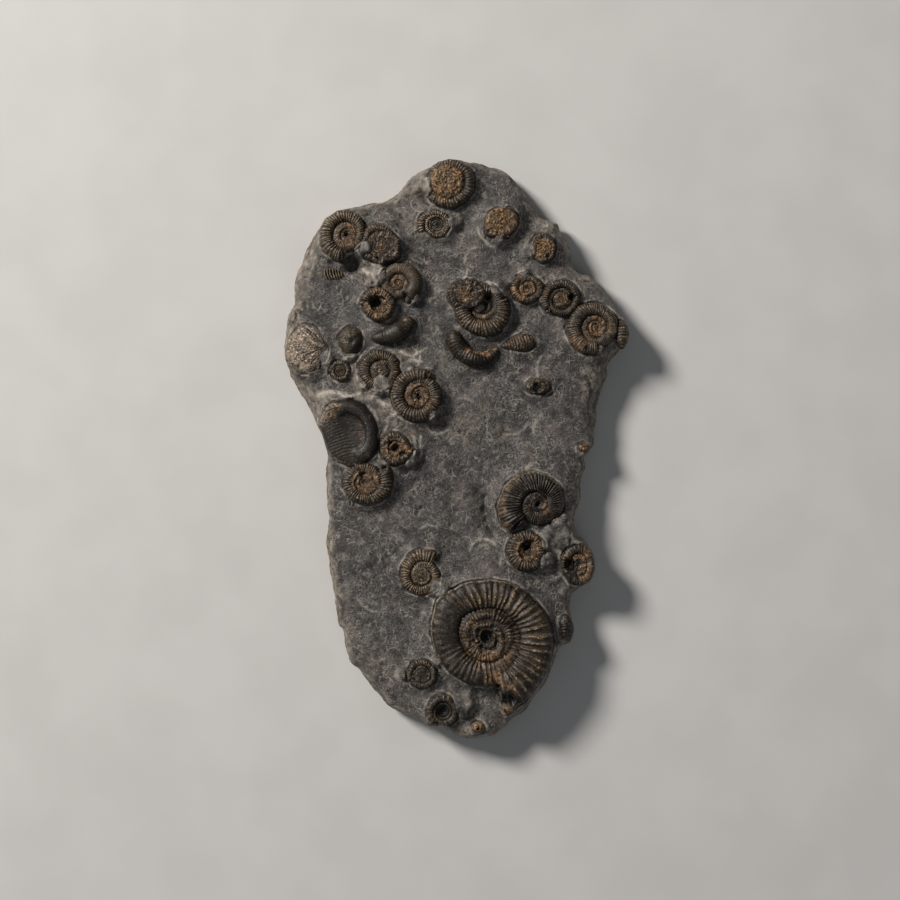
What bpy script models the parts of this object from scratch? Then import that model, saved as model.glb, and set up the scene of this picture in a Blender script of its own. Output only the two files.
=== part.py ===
"""A slab of grey limestone crowded with ammonites, lying on its flat broken back with the fossils upward.

The slab is one stone. Each ammonite or piece of shell is a solid of its own that sits on a flat seat in the
slab. Sizes are millimetres here and are turned into metres when a mesh is made. +Z is up, the long side
runs along Y, and the origin is on the back, in the middle of the outline.
"""
from dataclasses import dataclass
from math import cos, exp, hypot, log, pi, radians, sin

import bmesh
import bpy
from mathutils import Vector, noise
from mathutils.geometry import delaunay_2d_cdt

MM = 0.001

# The slab
OUTLINE = (
    (-3, 189.5), (4, 189.5), (15, 188.5), (20.5, 186.5), (29.5, 183.5), (35.5, 180), (39, 175.5), (43.5, 170.5),
    (46.5, 164.5), (51, 159.5), (55, 153), (62.5, 150.5), (66, 149), (68.5, 142), (73, 136), (75.5, 130),
    (75.5, 122.5), (81, 116.5), (88, 114.5), (94, 108), (99.5, 100.5), (105.5, 92), (111, 86), (112.5, 77.5),
    (112, 73), (107, 66), (102, 60.5), (99, 55), (98.5, 49.5), (94.5, 38.5), (92, 30.5), (92, 19.5), (90, 12),
    (90, 4.5), (86.5, -0.5), (83.5, -5), (84.5, -11.5), (81.5, -20), (81, -32.5), (77.5, -41), (77, -47),
    (79, -55.5), (83.5, -59), (89, -67.5), (90, -77), (88, -82.5), (82, -89), (75.5, -94.5), (74.5, -101),
    (75, -107.5), (77, -115.5), (74.5, -125.5), (68, -129), (64.5, -136.5), (61.5, -146.5), (56, -156),
    (50, -162.5), (46.5, -169), (37, -176.5), (30, -183), (23, -187.5), (10, -189.5), (4, -189), (-4.5, -185),
    (-10, -181.5), (-19.5, -181), (-25, -176), (-34.5, -173.5), (-44.5, -168), (-51, -160.5), (-59, -151.5),
    (-64, -144), (-69.5, -139.5), (-73.5, -128.5), (-74.5, -119), (-78, -113.5), (-79.5, -100.5),
    (-81.5, -87.5), (-83.5, -74.5), (-85.5, -61.5), (-84, -45.5), (-85.5, -32.5), (-85.5, -13), (-84.5, -2),
    (-88, 9.5), (-93, 19), (-98.5, 31.5), (-104.5, 40), (-109, 49.5), (-112, 62), (-112.5, 75), (-111, 87.5),
    (-107.5, 94), (-107, 104), (-106, 114.5), (-102.5, 122.5), (-98, 132), (-94, 141), (-89, 147.5),
    (-85.5, 152.5), (-76, 156), (-68, 159.5), (-57.5, 162), (-47.5, 163.5), (-39.5, 168), (-35.5, 172.5),
    (-30.5, 178.5), (-22.5, 183.5), (-11, 188))
THICKNESS = 25.0        # the flat ground between the fossils, above the back
EDGE_DROP = 3.0         # how far the top falls towards its rim
EDGE_REACH = 16.0       # and how far in from the rim that starts
BACK_INSET = 5.0        # the back is smaller than the widest line by this much all round
WIDEST_AT = 9.0         # height of the widest line above the back
BREAK_AT = 0.62         # height of the ledge round the side, as a share of the rim's height
BEVEL = 3.0             # how far the rim of the top lies inside the widest line
LEFT_BEVEL = 9.0        # the same on the long sloping face at the upper left
RIGHT_BEVEL = 5.5       # and on the right, below the shell that overhangs there
LEAST_BEVEL = 0.3       # the same below a shell that reaches the side
BEVEL_CHANGE = 1.5      # most that the bevel grows from one point of the outline to the next
RIM_MARGIN = 0.6        # the flat seats stop this far inside the rim
RIM_CLEAR = 5.0         # points that shape the open ground stay this far from the rim
SEAT_CLEAR = 4.0        # and this far from the seats
POINT_SPACING = 12.0    # spacing of the points that shape the open ground

# Swells and hollows of the ground: x, y, how far they spread, how high they rise
SWELLS = (
    (29, 146, 18, 2.0), (5, 147, 11, -2.0), (48, 149, 9, -2.0), (12, 88, 24, 3.0), (82, 86, 20, 3.0),
    (-62, 136, 22, 2.0), (-43, 93, 22, 3.0), (-36, 42, 22, 2.5), (-66, 0, 26, 3.0), (22, 20, 42, -1.5),
    (47, -42, 28, 3.5), (18, -119, 48, 2.5), (-52, -90, 36, -1.2), (-22, -80, 18, 1.5), (78, -74, 15, 1.0),
    (-96, 66, 22, 1.0), (-10, 175, 22, 1.0), (10, 50, 16, -1.5), (-82, 116, 12, -1.0))
TRENCH = ((14, -30), (15, -40), (18, -49), (23, -54))     # the curved furrow left of the second largest shell
TRENCH_DEPTH = 3.0
TRENCH_WIDTH = 4.5

# How the fossils sit
GAP = 0.3               # clearance between touching solids
SEAT_MARGIN = 0.55      # a seat reaches this far past its shell
SKIRT = 8.0             # the stone rises or falls to a seat over this distance
LIFT = 0.8              # seats stand this much above the ground round them
MEETING = 1.0           # seats closer than this share one height
MOUTH_BLEND = 12.0      # degrees over which a coil's outline steps in beyond its mouth
FOOT_SHARE = 0.93       # a coil's foot is this share of its reach
CUTTER_SPAN = (10.0, 60.0)      # lowest and highest level of a cutter
LEAST_LIFT = 0.8        # no part of a coil's top is nearer to its foot than this


@dataclass
class Shell:
    """One ammonite lying on its side. Angles are in degrees, anticlockwise from +X."""
    name: str
    x: float
    y: float
    height: float           # of the outer whorl above its seat
    mouth: float            # where the outer whorl ends
    hand: int               # 1 grows anticlockwise, -1 clockwise
    edge: tuple             # (degrees back from the mouth, radius there), the last one a full turn back
    ribs: int = 0
    narrow: float = 1.0     # width across over length, for a coil seen squashed
    turned: float = 0.0     # direction of the long axis
    lean: tuple = (0.0, 0.0)    # rise of its top towards +X and +Y, per millimetre
    skin: str = "dark shell"


@dataclass
class Ring:
    """A ring of points over a coil."""
    share: float            # of the coil's reach
    lift: float             # share of its height
    count: int              # points, where the coil has no ribs
    groove_in: float = 0.0      # depth of the grooves between ribs, as a share of the radius
    groove_down: float = 0.0    # and as a share of the height


@dataclass
class Build:
    """How finely coils from one radius upward are built."""
    least: float            # radius
    seat: int               # corners of the seat
    foot: int               # points of the foot
    middle: float           # height of the middle, as a share of the coil's
    rings: tuple


BUILDS = (
    Build(30.0, 30, 30, 0.36, (
        Ring(1.0, 0.42, 30, 0.035), Ring(0.86, 0.98, 30, 0.0, 0.12), Ring(0.70, 0.86, 30, 0.0, 0.10),
        Ring(0.58, 0.50, 30), Ring(0.46, 0.72, 28), Ring(0.33, 0.40, 20), Ring(0.25, 0.56, 16),
        Ring(0.17, 0.34, 10))),
    Build(13.9, 16, 14, 0.36, (
        Ring(1.0, 0.42, 18, 0.035), Ring(0.84, 1.0, 18, 0.0, 0.12), Ring(0.58, 0.50, 14), Ring(0.46, 0.72, 12),
        Ring(0.33, 0.40, 9))),
    Build(0.0, 13, 12, 0.55, (
        Ring(1.0, 0.42, 14, 0.035), Ring(0.82, 1.0, 14, 0.0, 0.12), Ring(0.58, 0.50, 14))))

COILS = (
    Shell("large_ammonite", 19.5, -120.2, 13.0, -78, -1,
          ((0, 52.7), (12, 50.7), (23, 48.6), (34, 46.4), (45, 45.6), (78, 43.0), (106, 39.3), (168, 36.4),
           (222, 38.9), (258, 36), (300, 33.6), (360, 31.9)), 58, skin="golden shell"),
    Shell("ammonite_01", -5.9, 174.7, 6.0, 215, -1,
          ((0, 16.8), (55, 17.2), (130, 18.0), (235, 14.5), (325, 12), (360, 11.5)), skin="golden shell"),
    Shell("ammonite_02", -12.9, 146.5, 3.6, 200, 1, ((0, 13.6), (110, 9.6), (200, 8.6), (360, 8.1))),
    Shell("ammonite_03", 29.0, 147.6, 6.0, 300, 1, ((0, 12.3), (180, 11.6), (360, 10.4)), lean=(-0.06, 0.05),
          skin="golden shell"),
    Shell("ammonite_04", 56.0, 131.0, 5.0, 170, 1, ((0, 10.8), (180, 10.2), (360, 9.0)), narrow=0.78, turned=90,
          skin="golden shell"),
    Shell("ammonite_05", 6.5, 100.8, 8.5, 250, 1, ((0, 12.8), (180, 12.6), (360, 11.6)), narrow=0.82,
          lean=(0.0, 0.05)),
    Shell("ammonite_06", 16.5, 92.6, 7.5, 25, 1, ((0, 17.6), (90, 19.2), (180, 17.4), (360, 15))),
    Shell("ammonite_07", 46.1, 105.2, 6.0, 95, -1, ((0, 11.3), (120, 11.4), (360, 9.6)), narrow=0.9,
          skin="golden shell"),
    Shell("ammonite_08", 67.9, 98.0, 6.5, 225, 1, ((0, 13.6), (130, 13.2), (250, 11.8), (360, 10.8))),
    Shell("ammonite_09", 90.1, 79.9, 8.0, 285, 1, ((0, 18.0), (105, 19.4), (195, 15.7), (285, 14.4), (360, 13.5))),
    Shell("ammonite_10", -71.7, 140.0, 8.0, 268, 1,
          ((0, 17.4), (24, 18.4), (90, 17.2), (180, 15.9), (270, 12.2), (360, 11.4)), 46),
    Shell("ammonite_11", -49.2, 132.8, 7.0, 300, 1,
          ((0, 13.9), (90, 13.5), (140, 14.2), (200, 13.4), (260, 14), (360, 12.6))),
    Shell("ammonite_12", -38.4, 108.4, 7.0, 294, -1, ((0, 14.5), (60, 16.0), (140, 13.6), (250, 11), (360, 10))),
    Shell("ammonite_13", -50.8, 94.4, 7.5, 180, 1, ((0, 12.0), (180, 11.4), (360, 10.2))),
    Shell("ammonite_14", -75.9, 51.5, 4.0, 200, 1, ((0, 7.4), (180, 7.0), (360, 6.2))),
    Shell("ammonite_15", -97.6, 65.2, 5.5, 60, 1, ((0, 14.2), (150, 15.6), (360, 13.9)), skin="worn shell"),
    Shell("ammonite_16", -49.4, 51.6, 5.5, 20, -1, ((0, 13.0), (70, 13.9), (160, 14.8), (360, 11.8))),
    Shell("ammonite_17", -25.3, 35.7, 8.0, 58, -1,
          ((0, 17.8), (32, 17.9), (122, 17.4), (212, 17.2), (302, 15.3), (360, 13.8)), 45),
    Shell("ammonite_18", -68.2, 11.5, 9.0, 290, -1, ((0, 23.0), (360, 22.0)), narrow=0.74, turned=113,
          skin="worn shell"),
    Shell("ammonite_19", -39.6, 1.6, 6.0, 0, 1, ((0, 12.0), (180, 10.4), (360, 9.4)), skin="golden shell"),
    Shell("ammonite_20", -59.3, -20.6, 7.0, 40, 1,
          ((0, 18.6), (40, 17.9), (130, 14.6), (220, 14.4), (310, 12.2), (360, 12))),
    Shell("ammonite_21", 52.6, -34.9, 9.5, 227, 1,
          ((0, 26.4), (47, 26.6), (137, 20.4), (227, 16.8), (300, 13.8), (360, 12.8)), 52),
    Shell("ammonite_22", 45.6, -64.6, 6.5, 330, 1, ((0, 14.2), (60, 13.8), (150, 13.6), (360, 11.4))),
    Shell("ammonite_23", 79.0, -74.4, 7.0, 250, 1, ((0, 14.8), (180, 14.6), (360, 13)), narrow=0.76, turned=98),
    Shell("ammonite_24", -22.5, -81.2, 6.0, 52, -1,
          ((0, 17.2), (38, 17.0), (125, 14.0), (195, 13.2), (305, 11.4), (360, 11)), 43, skin="golden shell"),
    Shell("ammonite_25", -22.5, -145.7, 5.5, 220, 1, ((0, 10.2), (180, 10.0), (360, 8.8))),
    Shell("ammonite_26", -9.0, -169.6, 5.0, 250, 1, ((0, 11.0), (180, 10.8), (360, 9))))

# Worn lumps of shell: name, x, y, half length, half width, direction of the length, height, skin
LUMPS = (
    ("shell_fragment_01", 107.0, 75.6, 9.2, 4.4, 94, 5.5, "dark shell"),
    ("shell_fragment_02", 39.6, 69.4, 11.6, 5.6, 10, 5.0, "dark shell"),
    ("shell_fragment_03", 52.8, 41.8, 9.0, 5.5, 5, 4.0, "dark shell"),
    ("shell_fragment_04", -69.3, 71.3, 9.6, 7.9, 84, 6.5, "worn shell"),
    ("shell_fragment_05", 13.8, -180.4, 4.4, 4.2, 0, 4.2, "golden shell"),
    ("shell_fragment_06", 71.0, -115.6, 9.0, 4.5, 95, 5.0, "dark shell"),
    ("shell_fragment_07", 82.4, 1.6, 4.0, 3.6, 0, 3.5, "dark shell"),
    ("shell_fragment_08", -105.8, 87.0, 4.2, 2.2, 80, 2.5, "worn shell"))
LUMP_RINGS = ((0.92, 0.0, 9), (1.0, 0.35, 11), (0.72, 0.85, 9), (0.36, 1.0, 6))   # share of reach, of height, count
LUMP_SEAT = 10          # corners of a lump's seat

# Coils that stand on edge, so that only an arc of them shows: name, centre of the arc x and y, radius, width,
# first angle, last angle, height, share of the arc at which it is widest, skin
ARCS = (
    ("ammonite_27", 14.0, 75.5, 15.7, 11.5, 170, 324, 8.5, 0.36, "golden shell"),
    ("ammonite_28", -51.9, 99.1, 26.0, 11.8, 264, 330, 8.0, 0.62, "dark shell"))
ARC_STATIONS = 12
ARC_PROFILE = ((-1.0, 0.0), (1.0, 0.0), (1.0, 0.5), (0.35, 1.0), (-0.55, 0.9), (-1.0, 0.35))   # across, up

COMB = ("shell_fragment_09", -81.7, 114.6, 12.5, 7.0, 6, 3.0, "golden shell")    # x, y, length, width, ribs, height
COMB_PROFILE = ((-0.5, 0.0), (0.5, 0.0), (0.5, 0.5), (0.0, 1.0), (-0.5, 0.5))      # across, up
COMB_GROOVE = 0.55      # height between its ribs, as a share of theirs

# Which solid is cut back by which, where they overlap in plan: the one behind, then the one in front
COVERED = (
    ("ammonite_06", "ammonite_05"), ("ammonite_12", "ammonite_13"), ("ammonite_16", "ammonite_17"),
    ("ammonite_20", "ammonite_18"), ("ammonite_11", "ammonite_10"), ("ammonite_09", "ammonite_08"),
    ("shell_fragment_01", "ammonite_09"), ("ammonite_19", "ammonite_20"), ("ammonite_12", "ammonite_11"),
    ("ammonite_19", "ammonite_18"), ("ammonite_07", "ammonite_08"))

# Colour (linear), roughness
SKINS = {
    "matrix": ((0.105, 0.100, 0.092), 0.75),
    "dark shell": ((0.040, 0.033, 0.026), 0.55),
    "golden shell": ((0.190, 0.125, 0.065), 0.60),
    "worn shell": ((0.160, 0.135, 0.105), 0.70)}


def clear_scene():
    for thing in list(bpy.data.objects):
        bpy.data.objects.remove(thing)


def skin(name):
    """The material of that name, made on first use."""
    found = bpy.data.materials.get(name)
    if found:
        return found
    colour, rough = SKINS[name]
    made = bpy.data.materials.new(name)
    made.use_nodes = True
    shader = made.node_tree.nodes["Principled BSDF"]
    shader.inputs["Base Color"].default_value = (*colour, 1)
    shader.inputs["Roughness"].default_value = rough
    shader.inputs["Metallic"].default_value = 0.0
    return made


def smoothstep(value):
    value = min(1.0, max(0.0, value))
    return value * value * (3 - 2 * value)


def mix(first, second, share):
    return first + (second - first) * share


def add_object(name, rings, closed_faces, skin_name):
    """Makes one object from a list of points in millimetres and faces that index them."""
    mesh = bpy.data.meshes.new(name)
    work = bmesh.new()
    verts = [work.verts.new((x * MM, y * MM, z * MM)) for x, y, z in rings]
    for face in closed_faces:
        work.faces.new([verts[i] for i in face])
    bmesh.ops.recalc_face_normals(work, faces=work.faces[:])
    work.to_mesh(mesh)
    work.free()
    mesh.materials.append(skin(skin_name))
    mesh.shade_smooth()
    mesh.set_sharp_from_angle(angle=radians(50))
    made = bpy.data.objects.new(name, mesh)
    bpy.context.collection.objects.link(made)
    return made


class Stack:
    """Points in rings, each ring zipped to the next, whatever their counts, into one closed body."""

    def __init__(self):
        self.points = []
        self.faces = []
        self.last = None

    def ring(self, points):
        here = list(range(len(self.points), len(self.points) + len(points)))
        self.points.extend(points)
        if self.last is None:
            self.faces.append(here[::-1])
        else:
            self.zip(self.last, here)
        self.last = here

    def zip(self, low, high):
        i = j = 0
        while i < len(low) or j < len(high):
            a, b = low[i % len(low)], high[j % len(high)]
            low_next = (i + 0.5) / len(low)
            high_next = (j + 0.5) / len(high)
            if j >= len(high) or (i < len(low) and low_next <= high_next):
                i += 1
                self.faces.append((a, low[i % len(low)], b))
            else:
                j += 1
                self.faces.append((a, high[j % len(high)], b))

    def close(self, point):
        self.points.append(point)
        tip = len(self.points) - 1
        for k, here in enumerate(self.last):
            self.faces.append((here, self.last[(k + 1) % len(self.last)], tip))


# Outlines of the fossils, as a distance from the middle in each direction

def behind_mouth(shell, angle):
    """Degrees back from a coil's mouth, against the way it grew."""
    return ((shell.mouth - angle) * shell.hand) % 360


def coil_reach(shell, angle):
    """Distance from a coil's middle to its outer edge in one direction, as a slow spiral."""
    behind = behind_mouth(shell, angle)
    reach = shell.edge[-1][1]
    for (near, near_reach), (far, far_reach) in zip(shell.edge, shell.edge[1:]):
        if near <= behind < far:
            reach = mix(near_reach, far_reach, (behind - near) / (far - near))
    ahead = 360 - behind
    if ahead < MOUTH_BLEND:
        reach = mix(shell.edge[0][1], reach, smoothstep(ahead / MOUTH_BLEND))
    along = radians(angle - shell.turned)
    return reach / hypot(cos(along), sin(along) / shell.narrow)


def oval_reach(half_length, half_width, turned, angle):
    along = radians(angle - turned)
    return 1 / hypot(cos(along) / half_length, sin(along) / half_width)


def polar(x, y, reach, angle):
    return x + reach * cos(radians(angle)), y + reach * sin(radians(angle))


def round_seat(x, y, reach_at, count):
    """A polygon that holds the whole outline, with a margin: each corner looks at the edge either side of it."""
    corners = []
    step = 360 / count
    for k in range(count):
        near = [reach_at(k * step + part * step) for part in (-0.6, -0.3, 0, 0.3, 0.6)]
        corners.append(polar(x, y, (max(near) + SEAT_MARGIN) / cos(pi / count), k * step))
    return corners


def arc_swell(share, widest):
    """1 at an arc's widest place, falling to nothing at both ends."""
    return sin(pi * share ** (log(0.5) / log(widest))) ** 0.55 if 0 < share < 1 else 0.0


def arc_band(row, stations):
    """Middle line of an arc, with the way outward and its half width there, thinning to the two ends."""
    name, x, y, radius, width, first, last, height, widest, skin_name = row
    band = []
    for k in range(stations + 1):
        share = k / stations
        angle = radians(mix(first, last, share))
        half = width / 2 * (0.2 + 0.8 * arc_swell(share, widest))
        band.append((x + radius * cos(angle), y + radius * sin(angle), cos(angle), sin(angle), half))
    return band


def arc_seat(row):
    outer = []
    inner = []
    for px, py, ux, uy, half in arc_band(row, ARC_STATIONS):
        out = half + SEAT_MARGIN
        outer.append((px + ux * out, py + uy * out))
        inner.append((px - ux * out, py - uy * out))
    return outer + inner[::-1]


# The ground

def line_distance(line, x, y):
    """Distance of a point from a chain of straight pieces."""
    nearest = 1e9
    for (ax, ay), (bx, by) in zip(line, line[1:]):
        share = ((x - ax) * (bx - ax) + (y - ay) * (by - ay)) / ((bx - ax) ** 2 + (by - ay) ** 2)
        share = min(1.0, max(0.0, share))
        nearest = min(nearest, hypot(x - mix(ax, bx, share), y - mix(ay, by, share)))
    return nearest


def polygon_distance(polygon, x, y):
    return line_distance([*polygon, polygon[0]], x, y)


def clear_of(seat, x, y, distance):
    """Whether a point is outside a seat by at least that distance."""
    return not inside(seat.corners, x, y) and polygon_distance(seat.corners, x, y) > distance


def open_ground(x, y):
    """Height of the stone's top where no fossil is near."""
    height = THICKNESS - TRENCH_DEPTH * exp(-(line_distance(TRENCH, x, y) / TRENCH_WIDTH) ** 2)
    for at_x, at_y, spread, rise in SWELLS:
        height += rise * exp(-((x - at_x) ** 2 + (y - at_y) ** 2) / spread ** 2)
    height -= EDGE_DROP * (1 - smoothstep(polygon_distance(OUTLINE, x, y) / EDGE_REACH)) ** 2
    return height + 1.2 * noise.noise(Vector((x, y, 3.0)) / 27.0)


def inside(polygon, x, y):
    odd = False
    for (ax, ay), (bx, by) in zip(polygon, polygon[1:] + polygon[:1]):
        if (ay > y) != (by > y) and x < ax + (y - ay) / (by - ay) * (bx - ax):
            odd = not odd
    return odd


class Seat:
    """The flat place in the stone's top under one fossil."""

    def __init__(self, name, middle, corners):
        self.name = name
        self.middle = middle
        self.corners = corners
        self.height = open_ground(*middle) + LIFT


def meet(one, other):
    if any(inside(one.corners, *corner) for corner in other.corners):
        return True
    if any(inside(other.corners, *corner) for corner in one.corners):
        return True
    return min(polygon_distance(one.corners, *corner) for corner in other.corners) < MEETING


def make_seats():
    """Seats for all fossils. Seats that meet form one bed at one height, so no step is left between them."""
    seats = []
    for shell in COILS:
        count = build_of(shell).seat
        corners = round_seat(shell.x, shell.y, lambda angle, s=shell: coil_reach(s, angle), count)
        seats.append(Seat(shell.name, (shell.x, shell.y), corners))
    for name, x, y, half_length, half_width, turned, *rest in LUMPS:
        reach = lambda angle: oval_reach(half_length, half_width, turned, angle)
        seats.append(Seat(name, (x, y), round_seat(x, y, reach, LUMP_SEAT)))
    for row in ARCS:
        corners = arc_seat(row)
        seats.append(Seat(row[0], arc_band(row, ARC_STATIONS)[ARC_STATIONS // 2][:2], corners))
    name, x, y, length, width, *rest = COMB
    along, across = length / 2 + SEAT_MARGIN, width / 2 + SEAT_MARGIN
    ways = ((-1, -1), (1, -1), (1, 1), (-1, 1))
    seats.append(Seat(name, (x, y), [(x + sx * along, y + sy * across) for sx, sy in ways]))
    beds = []
    for seat in seats:
        touching = [bed for bed in beds if any(meet(seat, other) for other in bed)]
        beds = [bed for bed in beds if bed not in touching]
        beds.append([seat] + [other for bed in touching for other in bed])
    for bed in beds:
        level = sum(seat.height for seat in bed) / len(bed)
        for seat in bed:
            seat.height = level
    return seats


def ground(seats, x, y):
    """Height of the stone's top, drawn to the seats of the fossils close by."""
    height = open_ground(x, y)
    pull = total = 0.0
    strongest = 0.0
    for seat in seats:
        away = 0.0 if inside(seat.corners, x, y) else polygon_distance(seat.corners, x, y)
        weight = smoothstep(1 - away / SKIRT)
        pull += weight * seat.height
        total += weight
        strongest = max(strongest, weight)
    return mix(height, pull / total, strongest) if total else height


# The slab

def outward(points, spread=2):
    """Outward direction at each point of a clockwise outline, evened over its neighbours."""
    count = len(points)
    result = []
    for k in range(count):
        ax, ay = points[(k - spread) % count]
        bx, by = points[(k + spread) % count]
        length = hypot(bx - ax, by - ay)
        result.append((-(by - ay) / length, (bx - ax) / length))
    return result


def bevel_at(x, y):
    """How far the rim lies inside the widest line: broad on two stretches of the side, narrow elsewhere."""
    wide_left = smoothstep((-x - 78) / 14) * smoothstep((y + 5) / 30) * smoothstep((152 - y) / 24)
    wide_right = smoothstep((x - 76) / 12) * smoothstep((66 - y) / 12) * smoothstep((y + 6) / 30)
    rough = 1 + 0.35 * noise.noise(Vector((x, y, 11.0)) / 14.0)
    return rough * (BEVEL + (LEFT_BEVEL - BEVEL) * wide_left + (RIGHT_BEVEL - BEVEL) * wide_right)


def rim_of(seats):
    """The rim of the top face, kept clear of every seat, so that overhanging fossils still have stone below."""
    directions = outward(OUTLINE)
    steps = []
    for (x, y), (nx, ny) in zip(OUTLINE, directions):
        step = bevel_at(x, y)
        while step > LEAST_BEVEL:
            at = (x - nx * step, y - ny * step)
            if all(clear_of(seat, *at, 0.5) for seat in seats):
                break
            step -= 0.25
        steps.append(max(step, LEAST_BEVEL))
    for _ in range(2):
        after = steps[1:] + steps[:1]
        before = steps[-1:] + steps[:-1]
        steps = [min(here, b + BEVEL_CHANGE, a + BEVEL_CHANGE) for here, b, a in zip(steps, before, after)]
    return [(x - nx * s, y - ny * s) for (x, y), (nx, ny), s in zip(OUTLINE, directions, steps)]


def keep_within(seats, rim):
    """Draws in the corners of seats that would pass the rim, below the fossils that overhang it."""
    for seat in seats:
        drawn = []
        for x, y in seat.corners:
            for _ in range(80):
                if inside(rim, x, y) and polygon_distance(rim, x, y) > RIM_MARGIN:
                    break
                x, y = mix(x, seat.middle[0], 0.01), mix(y, seat.middle[1], 0.01)
            drawn.append((x, y))
        seat.corners = drawn


def side_rings(rim, rim_heights):
    """Back, widest line, ledge and rim of the broken side."""
    back = []
    widest = []
    ledge = []
    for (x, y), (nx, ny), (rx, ry), top in zip(OUTLINE, outward(OUTLINE), rim, rim_heights):
        rough = noise.noise(Vector((x, y, 0.0)) / 19.0)
        inset = BACK_INSET * (1 + 0.4 * rough)
        back.append((x - nx * inset, y - ny * inset, 0.0))
        widest.append((x, y, WIDEST_AT * (1 + 0.35 * rough)))
        share = 0.45 + 0.3 * noise.noise(Vector((y, x, 5.0)) / 9.0)
        ledge.append((mix(x, rx, share), mix(y, ry, share), mix(WIDEST_AT, top, BREAK_AT + 0.25 * rough)))
    return back, widest, ledge, [(x, y, z) for (x, y), z in zip(rim, rim_heights)]


def ground_points(rim, seats):
    """Shaken points in rows over the open ground, clear of the rim and of the seats."""
    found = []
    left, bottom = (min(point[axis] for point in OUTLINE) for axis in (0, 1))
    right, top = (max(point[axis] for point in OUTLINE) for axis in (0, 1))
    rise = POINT_SPACING * sin(radians(60))
    for row in range(int((top - bottom) / rise)):
        for column in range(int((right - left) / POINT_SPACING) + 1):
            x = left + (column + (row % 2) / 2) * POINT_SPACING
            y = bottom + row * rise
            shift = noise.noise_vector(Vector((x, y, 1.0)) / 5.0) * 3.0
            x, y = x + shift.x, y + shift.y
            if not inside(rim, x, y) or polygon_distance(rim, x, y) < RIM_CLEAR:
                continue
            if all(clear_of(seat, x, y, SEAT_CLEAR) for seat in seats):
                found.append((x, y))
    return found


def top_height(seats, x, y):
    """Height of the top: the seat's on a seat or its edge, else the ground's."""
    for seat in seats:
        if not clear_of(seat, x, y, 0.01):
            return seat.height
    return ground(seats, x, y)


def make_slab(seats):
    """The stone, from its back up its broken side to the top with its flat seats."""
    rim = rim_of(seats)
    keep_within(seats, rim)
    stack = Stack()
    for ring in side_rings(rim, [ground(seats, x, y) for x, y in rim]):
        stack.ring(ring)
    plan = [Vector(point) for point in rim]
    outer_edges = [(k, (k + 1) % len(rim)) for k in range(len(rim))]
    faces = []
    for seat in seats:
        start = len(plan)
        plan.extend(Vector(corner) for corner in seat.corners)
        faces.append(list(range(start, len(plan))))
    plan.extend(Vector(point) for point in ground_points(rim, seats))
    points, _, triangles, origins, *_ = delaunay_2d_cdt(plan, outer_edges, faces, 0, 1e-4)
    index = {}
    base = len(stack.points) - len(rim)
    for k, point in enumerate(points):
        first = min(origins[k], default=len(plan))
        if first < len(rim):
            index[k] = base + first
            continue
        index[k] = len(stack.points)
        stack.points.append((point.x, point.y, top_height(seats, *point)))
    for triangle in triangles:
        middle = sum((points[k] for k in triangle), Vector((0, 0))) / 3
        if inside(rim, *middle):
            stack.faces.append(tuple(index[k] for k in triangle))
    return add_object("matrix_slab", stack.points, stack.faces, "matrix")


# The fossils

def build_of(shell):
    """How finely to build a coil of its size."""
    return next(build for build in BUILDS if shell.edge[0][1] >= build.least)


def coil_ring(shell, seat, ring):
    """One ring round a coil. Where it is ribbed, ribs and grooves alternate from point to point."""
    radius = shell.edge[0][1]
    growth = radius / shell.edge[-1][1]
    ribbed = shell.ribs and (ring.groove_in or ring.groove_down)
    count = 2 * shell.ribs if ribbed else ring.count
    points = []
    for k in range(count):
        angle = shell.mouth + shell.hand * 360 * k / count
        groove = k % 2 if ribbed else 0
        reach = coil_reach(shell, angle) * ring.share - ring.groove_in * groove * radius
        x, y = polar(shell.x, shell.y, reach, angle)
        swell = growth ** (-behind_mouth(shell, angle) / 360)
        tilt = shell.lean[0] * (x - shell.x) + shell.lean[1] * (y - shell.y)
        up = shell.height * swell * (ring.lift - ring.groove_down * groove) + tilt
        points.append((x, y, seat.height + GAP + max(LEAST_LIFT, up)))
    return points


def make_coil(shell, seat):
    """An ammonite on its side: a wall, the rounded outer whorl, then inner whorls stepping down to the middle."""
    build = build_of(shell)
    foot = []
    for k in range(build.foot):
        angle = shell.mouth + shell.hand * 360 * k / build.foot
        x, y = polar(shell.x, shell.y, coil_reach(shell, angle) * FOOT_SHARE, angle)
        foot.append((x, y, seat.height + GAP))
    stack = Stack()
    stack.ring(foot)
    for ring in build.rings:
        stack.ring(coil_ring(shell, seat, ring))
    stack.close((shell.x, shell.y, seat.height + GAP + shell.height * build.middle))
    return add_object(shell.name, stack.points, stack.faces, shell.skin)


def make_lump(row, seat):
    """A worn piece of shell: a rounded lump with an uneven top."""
    name, x, y, half_length, half_width, turned, height, skin_name = row
    stack = Stack()
    for share, lift, count in LUMP_RINGS:
        ring = []
        for k in range(count):
            angle = 360 * k / count
            reach = oval_reach(half_length, half_width, turned, angle) * share
            px, py = polar(x, y, reach, angle)
            bump = 0.18 * noise.noise(Vector((px, py, lift * 4)) / 4.0) if lift else 0.0
            ring.append((px, py, seat.height + GAP + height * (lift + bump)))
        stack.ring(ring)
    stack.close((x, y, seat.height + GAP + height))
    return add_object(name, stack.points, stack.faces, skin_name)


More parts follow.
